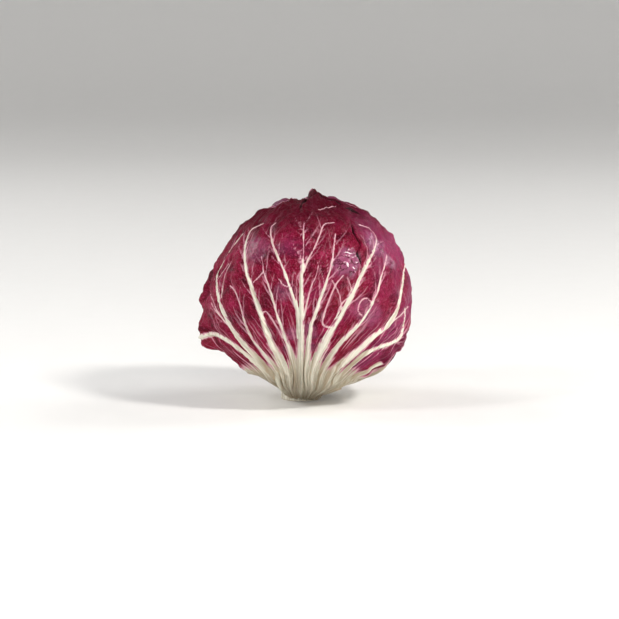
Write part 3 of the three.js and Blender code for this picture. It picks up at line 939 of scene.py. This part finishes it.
def mottle_group():
    """Blotches and specks of a leaf blade, between three colours."""
    w, given, out = new_group(
        "Blade Mottle",
        [("Vector", "vector", None), ("Dark", "color", (0.1, 0.006, 0.018, 1)),
         ("Middle", "color", (0.22, 0.018, 0.045, 1)), ("Bright", "color", (0.36, 0.05, 0.11, 1)),
         ("Fleck", "color", (0.42, 0.1, 0.18, 1)), ("Blotch", "float", 9.0), ("Speck", "float", 0.55)],
        [("Color", "color"), ("Speckle", "float")],
    )
    blotch = w.add("ShaderNodeTexNoise", {
        "Vector": given["Vector"], "Scale": w.math("DIVIDE", 1.0, given["Blotch"]),
        "Detail": 4.0, "Roughness": 0.6, "Distortion": 0.4,
    }).outputs["Fac"]
    speck = w.add("ShaderNodeTexNoise", {
        "Vector": w.stretch(given["Vector"], (1.0, 0.55, 1.0)),
        "Scale": w.math("DIVIDE", 1.0, given["Speck"]), "Detail": 3.0,
    }).outputs["Fac"]
    mottled = w.layered(
        given["Dark"],
        (w.between(blotch, 0.3, 0.52), given["Middle"]),
        (w.between(blotch, 0.5, 0.74), given["Bright"]),
        (w.between(speck, 0.53, 0.7, 0.0, 0.6), given["Fleck"]),
        (w.between(speck, 0.49, 0.32, 0.0, 0.75), given["Dark"]),
    )
    return give(w, out, {"Color": mottled, "Speckle": w.between(speck, 0.35, 0.7)})


def net_group():
    """The fine net of the smallest veins: broken, uneven and drawn out along the leaf."""
    w, given, out = new_group(
        "Vein Net",
        [("Vector", "vector", None), ("Cell", "float", 3.1), ("Line", "float", 0.085)],
        [("Line", "float"), ("Pillow", "float")],
    )
    warp = w.add("ShaderNodeTexNoise", {"Vector": given["Vector"], "Scale": 0.5, "Detail": 3.0})
    bent = w.stretch(warp.outputs["Color"], (4.5, 4.5, 0.0))
    moved = w.add("ShaderNodeVectorMath", {0: given["Vector"], 1: bent}, operation="ADD").outputs[0]
    drawn = w.stretch(moved, (1.0, 0.5, 1.0))
    scale = w.math("DIVIDE", 1.0, given["Cell"])
    cells = w.add("ShaderNodeTexVoronoi", {"Vector": drawn, "Scale": scale}, feature="DISTANCE_TO_EDGE")
    away = cells.outputs["Distance"]
    line = w.less(1.0, w.between(away, 0.0, given["Line"]))
    broken = w.between(w.noise(given["Vector"], 5.0), 0.4, 0.62)
    return give(w, out, {"Line": w.times(line, broken), "Pillow": w.between(away, 0.0, 0.4)})


def fibre_group():
    """Fine grain that runs up the ribs and the base of a leaf."""
    w, given, out = new_group(
        "Rib Fibre",
        [("Vector", "vector", None), ("Width", "float", 0.5), ("Length", "float", 9.0)],
        [("Grain", "float")],
    )
    parts = w.add("ShaderNodeSeparateXYZ", {0: given["Vector"]}).outputs
    joined = w.add("ShaderNodeCombineXYZ", {
        0: w.math("DIVIDE", parts[0], given["Width"]),
        1: w.math("DIVIDE", parts[1], given["Length"]),
        2: parts[2],
    }).outputs[0]
    grain = w.add("ShaderNodeTexNoise", {"Vector": joined, "Scale": 1.0, "Detail": 3.0}).outputs["Fac"]
    return give(w, out, {"Grain": grain})


def pale_group():
    """Masks of a leaf's ribs, of its base, and of all that is pale on it."""
    w, given, out = new_group(
        "Pale Parts",
        [("Vector", "vector", None), ("Streak", "float", 0.5), ("Net", "float", 0.0)],
        [("Rib", "float"), ("Base", "float"), ("Pale", "float")],
    )
    place, streak = given["Vector"], given["Streak"]
    along = w.add("ShaderNodeSeparateXYZ", {0: place}).outputs[1]
    feather, fleck = fibre(w, place, 1.0, 6.0), fibre(w, place, 0.75, 2.6)
    strength = w.field("strength")
    ragged = w.times(w.less(w.plus(feather, streak), 1.0), 3.2)
    soft = w.between(along, 115.0, 55.0, 1.0, 2.0)
    tattered = w.times(w.times(ragged, soft), w.between(strength, 0.68, 0.95, 0.3, 0.85))
    rib = w.between(w.plus(w.field("rib"), tattered), w.times(soft, 0.75), -0.25)
    rib = w.times(rib, strength)
    twig = w.between(w.plus(w.field("twig"), w.times(ragged, 0.2)), 0.3, -0.12)
    twig = w.times(twig, w.times(w.field("twig_weight"), 0.56))
    base = w.between(w.plus(w.field("pale"), w.times(w.less(streak, 0.5), 1.3)), 0.35, 0.95)
    flecks = w.times(w.between(fleck, 0.56, 0.72), 0.16)
    low_streaks = w.times(w.between(streak, 0.5, 0.66), w.between(along, 110.0, 66.0, 0.0, 0.5))
    # A pale rim along each margin: partly the edge's own colour, partly painted highlight.
    rim = w.times(w.between(w.field("margin"), 1.1, 0.1), 0.5)
    pale = w.most(given["Net"], flecks, twig, rim, low_streaks, rib, base)
    return give(w, out, {"Rib": rib, "Base": base, "Pale": pale})


def cream_group():
    """The colour of ribs and base: lightest up the ribs, with painted shade in the grooves, and browner
    towards the root, partly browning and partly painted shade.
    """
    w, given, out = new_group(
        "Cream Ribs",
        [("Vector", "vector", None), ("Grain", "float", 0.5), ("Streak", "float", 0.5), ("Rib", "float", 0.0),
         ("Cream", "color", None), ("Light", "color", None), ("Brown", "color", None)],
        [("Color", "color")],
    )
    along = w.add("ShaderNodeSeparateXYZ", {0: given["Vector"]}).outputs[1]
    cream = w.layered(
        given["Cream"],
        (w.between(given["Grain"], 0.35, 0.7, 0.0, 0.7), given["Light"]),
        (w.times(given["Rib"], w.between(along, 30.0, 75.0, 0.15, 0.7)), given["Light"]),
        # Painted shade in the grooves between the base's ridges.
        (w.times(w.field("groove"), 0.55), given["Brown"]),
        (w.between(given["Streak"], 0.52, 0.3, 0.0, 0.45), given["Brown"]),
        # Browner towards the root: partly browning, partly painted shade.
        (w.times(w.between(along, 30.0, 13.0), 0.6), given["Brown"]),
    )
    return give(w, out, {"Color": cream})


def wine_group():
    """The colour of the blade: violet and russet in places, more violet to the right as partly painted sheen,
    darker at the crown and under its margin as painted shade, darker in patches, paler in patches as rubbed
    wax and painted sheen, with painted shade in their wrinkles.
    """
    w, given, out = new_group(
        "Wine Blade",
        [("Vector", "vector", None), ("Color", "color", None), ("Violet", "color", None),
         ("Russet", "color", None), ("Dark", "color", None), ("Worn", "color", None)],
        [("Color", "color")],
    )
    place = given["Vector"]
    across, along = w.add("ShaderNodeSeparateXYZ", {0: place}).outputs[:2]
    broad = w.noise(place, 34.0, 2.0)
    # More violet at random and towards the right side: partly the blade's own tone, partly painted sheen
    # where the key light falls.
    violet_and_sheen = w.plus(broad, w.between(across, -20.0, 70.0, -0.13, 0.1))
    # Painted shadow under the leaf's margin at the crown.
    crest_shadow = w.times(w.between(w.field("margin"), 6.0, 1.5), w.between(along, 138.0, 152.0, 0.0, 0.85))
    creased = w.math("ABSOLUTE", w.less(w.noise(place, 4.0, 3.0), 0.5))
    wine = w.layered(
        given["Color"],
        (w.between(violet_and_sheen, 0.46, 0.68, 0.0, 0.45), given["Violet"]),
        (w.between(broad, 0.46, 0.3, 0.0, 0.35), given["Russet"]),
        # Darker towards the crown: painted shade.
        (w.between(along, 122.0, 156.0, 0.0, 0.85), given["Dark"]),
        # Darker patches: on the front leaf partly painted shade, elsewhere darker tone at random.
        (w.times(w.field("dark"), 0.7), given["Dark"]),
        (crest_shadow, given["Dark"]),
        # Paler violet where the wax is rubbed, partly painted sheen of the lights.
        (w.times(w.field("worn"), 0.55), given["Worn"]),
        # Thin dark wrinkle lines in the pale patches: painted shade of fine creases.
        (w.times(w.between(creased, 0.04, 0.005), w.field("worn")), given["Dark"]),
    )
    return give(w, out, {"Color": wine})


GROUPS = {
    "Blade Mottle": mottle_group,
    "Vein Net": net_group,
    "Rib Fibre": fibre_group,
    "Pale Parts": pale_group,
    "Cream Ribs": cream_group,
    "Wine Blade": wine_group,
}


def use_group(w, name, inputs):
    """The outputs of a node group, which is made where it is first used."""
    tree = bpy.data.node_groups.get(name) or GROUPS[name]()
    return w.add("ShaderNodeGroup", inputs, node_tree=tree).outputs


def fibre(w, place, width, length):
    return use_group(w, "Rib Fibre", {"Vector": place, "Width": width, "Length": length})["Grain"]


def new_material(name):
    material = bpy.data.materials.new(name)
    material.use_nodes = True
    return material, Wiring(material.node_tree)


def leaf_material(name, look, shade, net):
    """A waxy wine-red blade with pale ribs, a pale base and pinkish fine veins."""
    material, w = new_material(name)
    place = w.field("place", "Vector")
    grain, streak = fibre(w, place, 0.5, 9.0), fibre(w, place, 1.6, 24.0)
    lines = use_group(w, "Vein Net", {"Vector": place})
    net_line = w.times(lines["Line"], w.between(w.field("worn"), 0.1, 0.4, 0.18 * net, 0.0))
    mask = use_group(w, "Pale Parts", {"Vector": place, "Streak": streak, "Net": net_line})
    mottle = use_group(w, "Blade Mottle", {
        "Vector": place, "Dark": look.wine_dark * shade, "Middle": look.wine * shade,
        "Bright": look.wine_bright * shade, "Fleck": look.fleck * shade,
    })
    wine = use_group(w, "Wine Blade", {
        "Vector": place, "Color": mottle["Color"], "Violet": look.violet, "Russet": look.russet,
        "Dark": look.wine_dark, "Worn": look.worn,
    })["Color"]
    cream = use_group(w, "Cream Ribs", {
        "Vector": place, "Grain": grain, "Streak": streak, "Rib": mask["Rib"],
        "Cream": look.cream, "Light": look.cream_light, "Brown": look.butt,
    })["Color"]
    blushed = w.layered(look.blush, (w.between(mask["Pale"], 0.5, 0.9), cream))
    veined = (w.between(mask["Pale"], 0.08, 0.62), blushed)
    # Near black in the splits and creases: painted shade.
    color = w.layered(wine, veined, (w.between(w.field("split"), 0.15, 0.9), look.split))

    wax = w.noise(place, 7.0, 2.0)
    gloss = w.most(w.between(wax, 0.55, 0.75, 0.0, 0.1), w.times(w.field("worn"), 0.6))
    pitted = w.plus(w.times(lines["Pillow"], 0.5), w.times(mottle["Speckle"], 0.15))
    fibrous = w.times(grain, w.times(mask["Pale"], 0.6))
    height = w.plus(w.times(pitted, w.less(1.0, mask["Base"])), fibrous)
    bump = w.add("ShaderNodeBump", {"Strength": 0.8, "Distance": 0.0007, "Height": height})
    shader = w.add("ShaderNodeBsdfPrincipled", {
        "Base Color": color, "Roughness": w.between(wax, 0.35, 0.65, 0.36, 0.5), "Normal": bump.outputs[0],
        "Coat Weight": gloss, "Coat Roughness": 0.2, "Coat IOR": 1.45, "Specular IOR Level": 0.04,
        "Subsurface Weight": 0.06, "Subsurface Radius": (0.004, 0.0012, 0.0012), "Subsurface Scale": 0.6,
    })
    w.add("ShaderNodeOutputMaterial", {"Surface": shader.outputs[0]})
    return material


def stem_material(look):
    """The trimmed butt: cream fibres, browned where the cut has dried."""
    material, w = new_material("stem_butt")
    spot = w.add("ShaderNodeTexCoord").outputs["Object"]
    parts = w.add("ShaderNodeSeparateXYZ", {0: spot}).outputs
    flat = w.add("ShaderNodeCombineXYZ", {0: parts[0], 1: parts[1]}).outputs[0]
    out = w.add("ShaderNodeVectorMath", {0: flat}, operation="LENGTH").outputs["Value"]
    pores = w.add("ShaderNodeTexVoronoi", {"Vector": spot, "Scale": 1 / 0.0011}).outputs["Distance"]
    fibres = w.noise(w.stretch(spot, (1.0, 1.0, 0.15)), 0.0012, 4.0)
    stain = w.noise(spot, 0.006, 4.0, 0.6)
    on_cut = w.between(parts[2], 0.0006, 0.0001)
    ring = w.times(w.times(w.between(out, 0.0055, 0.0098), on_cut), 0.6)
    dots = w.times(w.times(w.between(pores, 0.35, 0.1), on_cut), 0.35)
    stained = w.plus(ring, w.times(w.between(stain, 0.45, 0.75), 0.45))
    brown = w.math("ADD", stained, dots, clamp=True)
    color = w.layered(look.cream, (w.between(fibres, 0.35, 0.7), look.cream_light), (brown, look.butt))
    height = w.plus(fibres, w.times(pores, 0.5))
    bump = w.add("ShaderNodeBump", {"Strength": 0.6, "Distance": 0.0006, "Height": height})
    shader = w.add("ShaderNodeBsdfPrincipled", {
        "Base Color": color, "Roughness": w.between(stain, 0.3, 0.7, 0.55, 0.75), "Normal": bump.outputs[0],
    })
    w.add("ShaderNodeOutputMaterial", {"Surface": shader.outputs[0]})
    return material


# ---------------------------------------------------------------- settings


class RadicchioForm(bpy.types.PropertyGroup):
    """Sizes of the head, as its solids have them."""

    head_radius: FloatProperty(
        name="Head radius", description="From the centre to the widest leaves", default=0.059, unit="LENGTH")
    centre_height: FloatProperty(
        name="Centre height", description="The centre's height above the cut", default=0.0545, unit="LENGTH")
    side_lean: FloatProperty(
        name="Side lean", description="How far the head leans to the right", default=0.003, unit="LENGTH")
    stem_taper: FloatProperty(
        name="Stem taper", description="How the head narrows to its stem", default=0.125, subtype="FACTOR")
    layer_at_stem: FloatProperty(
        name="Layer at stem", description="Between leaves near the stem", default=0.0039, unit="LENGTH")
    layer_on_ball: FloatProperty(
        name="Layer on ball", description="Between leaves on the ball", default=0.00295, unit="LENGTH")
    detail: FloatProperty(
        name="Detail", description="Share of each leaf's full count of points", default=1.0, subtype="FACTOR")


class RadicchioLook(bpy.types.PropertyGroup):
    """Colours of the leaves and the stem."""

    wine: FloatVectorProperty(
        name="Wine", description="The blade's usual colour", default=(0.155, 0.004, 0.02), subtype="COLOR")
    # Also the colour of the painted shade at the crown, under margins, in patches and in wrinkles.
    wine_dark: FloatVectorProperty(
        name="Dark wine", description="The darkest blotches", default=(0.05, 0.001, 0.006), subtype="COLOR")
    wine_bright: FloatVectorProperty(
        name="Bright wine", description="The light blotches", default=(0.27, 0.014, 0.055), subtype="COLOR")
    fleck: FloatVectorProperty(
        name="Fleck", description="Fine pink specks", default=(0.34, 0.045, 0.11), subtype="COLOR")
    violet: FloatVectorProperty(
        name="Violet", description="The more violet places", default=(0.25, 0.04, 0.12), subtype="COLOR")
    russet: FloatVectorProperty(
        name="Russet", description="The browner places", default=(0.19, 0.025, 0.03), subtype="COLOR")
    # The pale violet of rubbed wax, also used as painted sheen.
    worn: FloatVectorProperty(
        name="Worn", description="Where the wax is worn pale", default=(0.31, 0.1, 0.2), subtype="COLOR")
    blush: FloatVectorProperty(
        name="Blush", description="Where veins meet the wine", default=(0.56, 0.26, 0.33), subtype="COLOR")
    cream: FloatVectorProperty(
        name="Cream", description="Ribs and leaf bases", default=(0.44, 0.4, 0.31), subtype="COLOR")
    cream_light: FloatVectorProperty(
        name="Light cream", description="Grain of the ribs", default=(0.76, 0.73, 0.62), subtype="COLOR")
    # Browned stem and roots, also used for painted shade in the grooves and at the root of the leaves.
    butt: FloatVectorProperty(
        name="Butt", description="Browned stem and leaf roots", default=(0.26, 0.17, 0.08), subtype="COLOR")
    # Near black painted shade inside splits and creases.
    split: FloatVectorProperty(
        name="Split", description="The dark inside of a split", default=(0.02, 0.004, 0.006), subtype="COLOR")


class RadicchioStage(bpy.types.PropertyGroup):
    """The floor and the camera."""

    floor: FloatVectorProperty(
        name="Floor", description="Colour of the floor", default=(0.8, 0.79, 0.77), subtype="COLOR")
    view_tilt: FloatProperty(
        name="View tilt", description="How far the camera looks down", default=FRONT_TILT, subtype="ANGLE")
    view_distance: FloatProperty(
        name="View distance", description="From the camera to the head", default=1.5, unit="LENGTH")
    frame_width: FloatProperty(
        name="Frame width", description="What the camera takes in at the head", default=0.3487, unit="LENGTH")


# ---------------------------------------------------------------- operators


def kept_detail(form, quick_share):
    return form.detail * 1.0


def grow_pieces(context, leaves, shade, net):
    """Grows whole leaves in the place of their solids."""
    scene = context.scene
    head, look = Head(scene.radicchio_form), scene.radicchio_look
    detail = kept_detail(scene.radicchio_form, QUICK_DETAIL)
    for leaf in leaves:
        outer = LEAVES[:LEAVES.index(leaf)]
        piece = add_piece(leaf.node.replace("leaf_", "") + "_leaf", *grown_leaf(head, leaf, outer, detail))
        settle(piece, leaf.node, leaf.slot, leaf_material(piece.name, look, shade, net))


class RADICCHIO_OT_stem(bpy.types.Operator):
    """Turn the trimmed stem, with a fibrous side and a dried cut face"""

    bl_idname = "radicchio.stem"
    bl_label = "Stem"

    def execute(self, context):
        low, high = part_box("stem")
        top, root = high.z / MM, -low.x / MM
        cut = root - CUT_INSET
        profile = [
            (0, 0), (cut * 0.25, 0), (cut * 0.5, 0), (cut * 0.8, 0), (cut, 0), (cut + 0.45, 0.15),
            (cut + 0.8, 0.6), (root, 1.6), (root - 0.05, 2.6), (root - 0.9, 6), (root - 1.6, 9),
            (root - 3.2, top - 1), (root - 4.8, top), (0, top),
        ]
        turned = smooth_course(profile, STEM_STEP)[1:-1]
        around = np.linspace(0, 2 * math.pi, STEM_SIDES, endpoint=False)
        radius, height = turned[:, :1] + 0 * around, np.clip(turned[:, 1:], 0, top) + 0 * around
        points = np.stack([radius * np.cos(around), radius * np.sin(around), height], -1)
        side = smooth(0.3, 1.4, height) * smooth(top, top - 2, height)
        rough = 0.35 * ripple(points * [1, 1, 0.35], 2.4, 21) + 0.12 * ripple(points * [1, 1, 0.2], 0.9, 22)
        scar = 0.6 * smooth(0.1, 0.5, ripple(points * [1, 1, 2.2], 5.0, 23)) * smooth(4.5, 1.5, height)
        worn_off = side * (0.35 + rough + scar)
        points[..., :2] *= (1 - worn_off / np.maximum(radius, 3))[..., None]

        rings, count = radius.shape
        foot, last = rings * count, (rings - 1) * count
        faces = band(rings, count)
        for i in range(count):
            n = (i + 1) % count
            faces += [[foot, n, i], [foot + 1, last + i, last + n]]
        ends = [[0, 0, 0], [0, 0, top]]
        piece = add_piece("stem_butt", np.vstack([points.reshape(-1, 3), ends]), faces)
        settle(piece, "stem", "stem", stem_material(context.scene.radicchio_look))
        return {"FINISHED"}


class RADICCHIO_OT_heart(bpy.types.Operator):
    """Fold the innermost leaves over the head's core"""

    bl_idname = "radicchio.heart"
    bl_label = "Heart"

    def execute(self, context):
        scene = context.scene
        head = Head(scene.radicchio_form)
        detail = kept_detail(scene.radicchio_form, QUICK_HEART_DETAIL)
        turns = np.linspace(0, 2 * math.pi, CORE_SIDES, endpoint=False)
        around, up = np.meshgrid(turns, np.linspace(0.03, math.pi - 0.03, CORE_RINGS))
        sphere = np.stack([np.sin(up) * np.cos(around), np.sin(up) * np.sin(around), -np.cos(up)], -1)
        depth, _ = tuck(head, LEAVES, sphere)
        points = head.at(sphere, head.skin(sphere) - depth - CORE_DEPTH).reshape(-1, 3)
        rings, count = up.shape
        faces = band(rings, count)
        faces += [list(range(count - 1, -1, -1)), list(range((rings - 1) * count, rings * count))]
        blank = np.zeros(len(points))
        fields = dict.fromkeys(("groove", "split", "pale", "twig_weight", "worn", "dark"), blank)
        fields |= dict.fromkeys(("rib", "twig", "strength", "margin"), blank + 3)
        fields["place"] = points
        for order, leaf in enumerate(HEART_LEAVES):
            outer = LEAVES + HEART_LEAVES[:order]
            blade, blade_faces, _, more = grown_leaf(head, leaf, outer, detail)
            faces += [[len(points) + n for n in face] for face in blade_faces]
            points = np.vstack([points, blade])
            fields = {name: np.concatenate([values, more[name]]) for name, values in fields.items()}
        piece = add_piece("heart_leaves", points, faces, fields=fields)
        material = leaf_material("heart_leaf", scene.radicchio_look, HEART_SHADE, HEART_NET)
        settle(piece, "heart", "heart_leaf", material)
        return {"FINISHED"}


class RADICCHIO_OT_front_leaf(bpy.types.Operator):
    """Grow the wrapper leaf that faces the front, with its fan of pale ribs"""

    bl_idname = "radicchio.front_leaf"
    bl_label = "Front Leaf"

    def execute(self, context):
        grow_pieces(context, LEAVES[:1], FRONT_SHADE, FRONT_NET)
        return {"FINISHED"}


class RADICCHIO_OT_side_leaves(bpy.types.Operator):
    """Grow the wrapper leaves at the left and the right"""

    bl_idname = "radicchio.side_leaves"
    bl_label = "Side Leaves"

    def execute(self, context):
        grow_pieces(context, LEAVES[1:3], SIDE_SHADE, SIDE_NET)
        return {"FINISHED"}


class RADICCHIO_OT_inner_leaves(bpy.types.Operator):
    """Grow the second layer of leaves, which shows at the crown and beside the stem"""

    bl_idname = "radicchio.inner_leaves"
    bl_label = "Inner Leaves"

    def execute(self, context):
        grow_pieces(context, LEAVES[3:], INNER_SHADE, INNER_NET)
        return {"FINISHED"}


def area_light(name, direction, distance, size, power, target, color=(1, 1, 1)):
    data = bpy.data.lights.new(name, "AREA")
    data.shape, data.size, data.energy, data.color = "DISK", size, power, color
    lamp = bpy.data.objects.new(name, data)
    lamp.location = target + Vector(direction).normalized() * distance
    lamp.rotation_euler = (target - lamp.location).to_track_quat("-Z", "Y").to_euler()
    bpy.context.scene.collection.objects.link(lamp)


def lay_floor(color):
    """A pale floor that sweeps up all round."""
    profile = smooth_course(FLOOR_PROFILE, FLOOR_STEP)[1:]
    around = np.linspace(0, 2 * math.pi, FLOOR_SIDES, endpoint=False)
    across, up = profile[:, :1] + 0 * around, np.maximum(profile[:, 1:] + 0 * around, 0)
    points = np.stack([across * np.cos(around), across * np.sin(around), up], -1)
    faces = [[a, d, c, b] for a, b, c, d in band(len(profile), FLOOR_SIDES)]
    floor = add_piece("floor", points.reshape(-1, 3) / MM, [*faces, list(range(FLOOR_SIDES))])
    material, w = new_material("floor_paint")
    grain = w.noise(w.add("ShaderNodeTexCoord").outputs["Object"], 0.02)
    rough = w.between(grain, 0.3, 0.7, 0.55, 0.65)
    shader = w.add("ShaderNodeBsdfPrincipled", {"Base Color": color, "Roughness": rough})
    w.add("ShaderNodeOutputMaterial", {"Surface": shader.outputs[0]})
    floor.data.materials.append(material)


def light_stage(middle):
    """A soft studio light from all round, with a small key light at the front right."""
    world = bpy.data.worlds.new("studio")
    world.use_nodes = True
    background = world.node_tree.nodes["Background"].inputs
    background["Color"].default_value = (0.93, 0.95, 1.0, 1)
    background["Strength"].default_value = 0.16
    bpy.context.scene.world = world
    area_light("front", (0, -1, 0.3), 1.8, 0.8, 12, middle)
    area_light("key", (0.62, -0.42, 0.62), 1.2, 0.2, 11, middle, (1, 0.98, 0.95))
    area_light("left", (-0.75, -0.35, 0.5), 1.2, 0.3, 5, middle, (0.97, 0.98, 1))
    for name, side in (("side_left", -1), ("side_right", 1)):
        area_light(name, (0.8 * side, 0.4, 0.55), 2.1, 1.2, 22, Vector((0, 0, 0)))


class RADICCHIO_OT_stage(bpy.types.Operator):
    """Set the head on a pale floor that sweeps up all round, with soft light and the camera"""

    bl_idname = "radicchio.stage"
    bl_label = "Stage"

    def execute(self, context):
        scene = context.scene
        stage = scene.radicchio_stage
        lay_floor(stage.floor)
        light_stage(Vector((0, 0, scene.radicchio_form.centre_height)))
        data = bpy.data.cameras.new("camera")
        data.lens = data.sensor_width * stage.view_distance / stage.frame_width
        camera = bpy.data.objects.new("camera", data)
        back = Vector((0, -math.cos(stage.view_tilt), math.sin(stage.view_tilt)))
        camera.location = VIEW_CENTRE + back * stage.view_distance
        camera.rotation_euler = (-back).to_track_quat("-Z", "Y").to_euler()
        scene.collection.objects.link(camera)
        scene.camera = camera
        scene.view_settings.view_transform = "Standard"
        return {"FINISHED"}


class RADICCHIO_PT_panel(bpy.types.Panel):
    """Sizes, colours and the steps that grow the head"""

    bl_label = "Radicchio"
    bl_space_type = "VIEW_3D"
    bl_region_type = "UI"
    bl_category = "Radicchio"

    def draw(self, context):
        scene = context.scene
        for settings in (scene.radicchio_form, scene.radicchio_look, scene.radicchio_stage):
            box = self.layout.box()
            for name in settings.__annotations__:
                box.prop(settings, name)
        for operator in OPERATORS:
            self.layout.operator(operator.bl_idname)


SETTINGS = {
    "radicchio_form": RadicchioForm,
    "radicchio_look": RadicchioLook,
    "radicchio_stage": RadicchioStage,
}
OPERATORS = (
    RADICCHIO_OT_stage,
    RADICCHIO_OT_stem,
    RADICCHIO_OT_heart,
    RADICCHIO_OT_inner_leaves,
    RADICCHIO_OT_side_leaves,
    RADICCHIO_OT_front_leaf,
)


def register():
    for cls in (*SETTINGS.values(), *OPERATORS, RADICCHIO_PT_panel):
        bpy.utils.register_class(cls)
    for name, cls in SETTINGS.items():
        setattr(bpy.types.Scene, name, PointerProperty(type=cls))


def unregister():
    for name in SETTINGS:
        delattr(bpy.types.Scene, name)
    for cls in (RADICCHIO_PT_panel, *reversed(OPERATORS), *reversed(SETTINGS.values())):
        bpy.utils.unregister_class(cls)


def main():
    register()
    bpy.ops.radicchio.stage()
    bpy.ops.radicchio.stem()
    bpy.ops.radicchio.heart()
    bpy.ops.radicchio.inner_leaves()
    bpy.ops.radicchio.side_leaves()
    bpy.ops.radicchio.front_leaf()


if __name__ == "__main__":
    main()
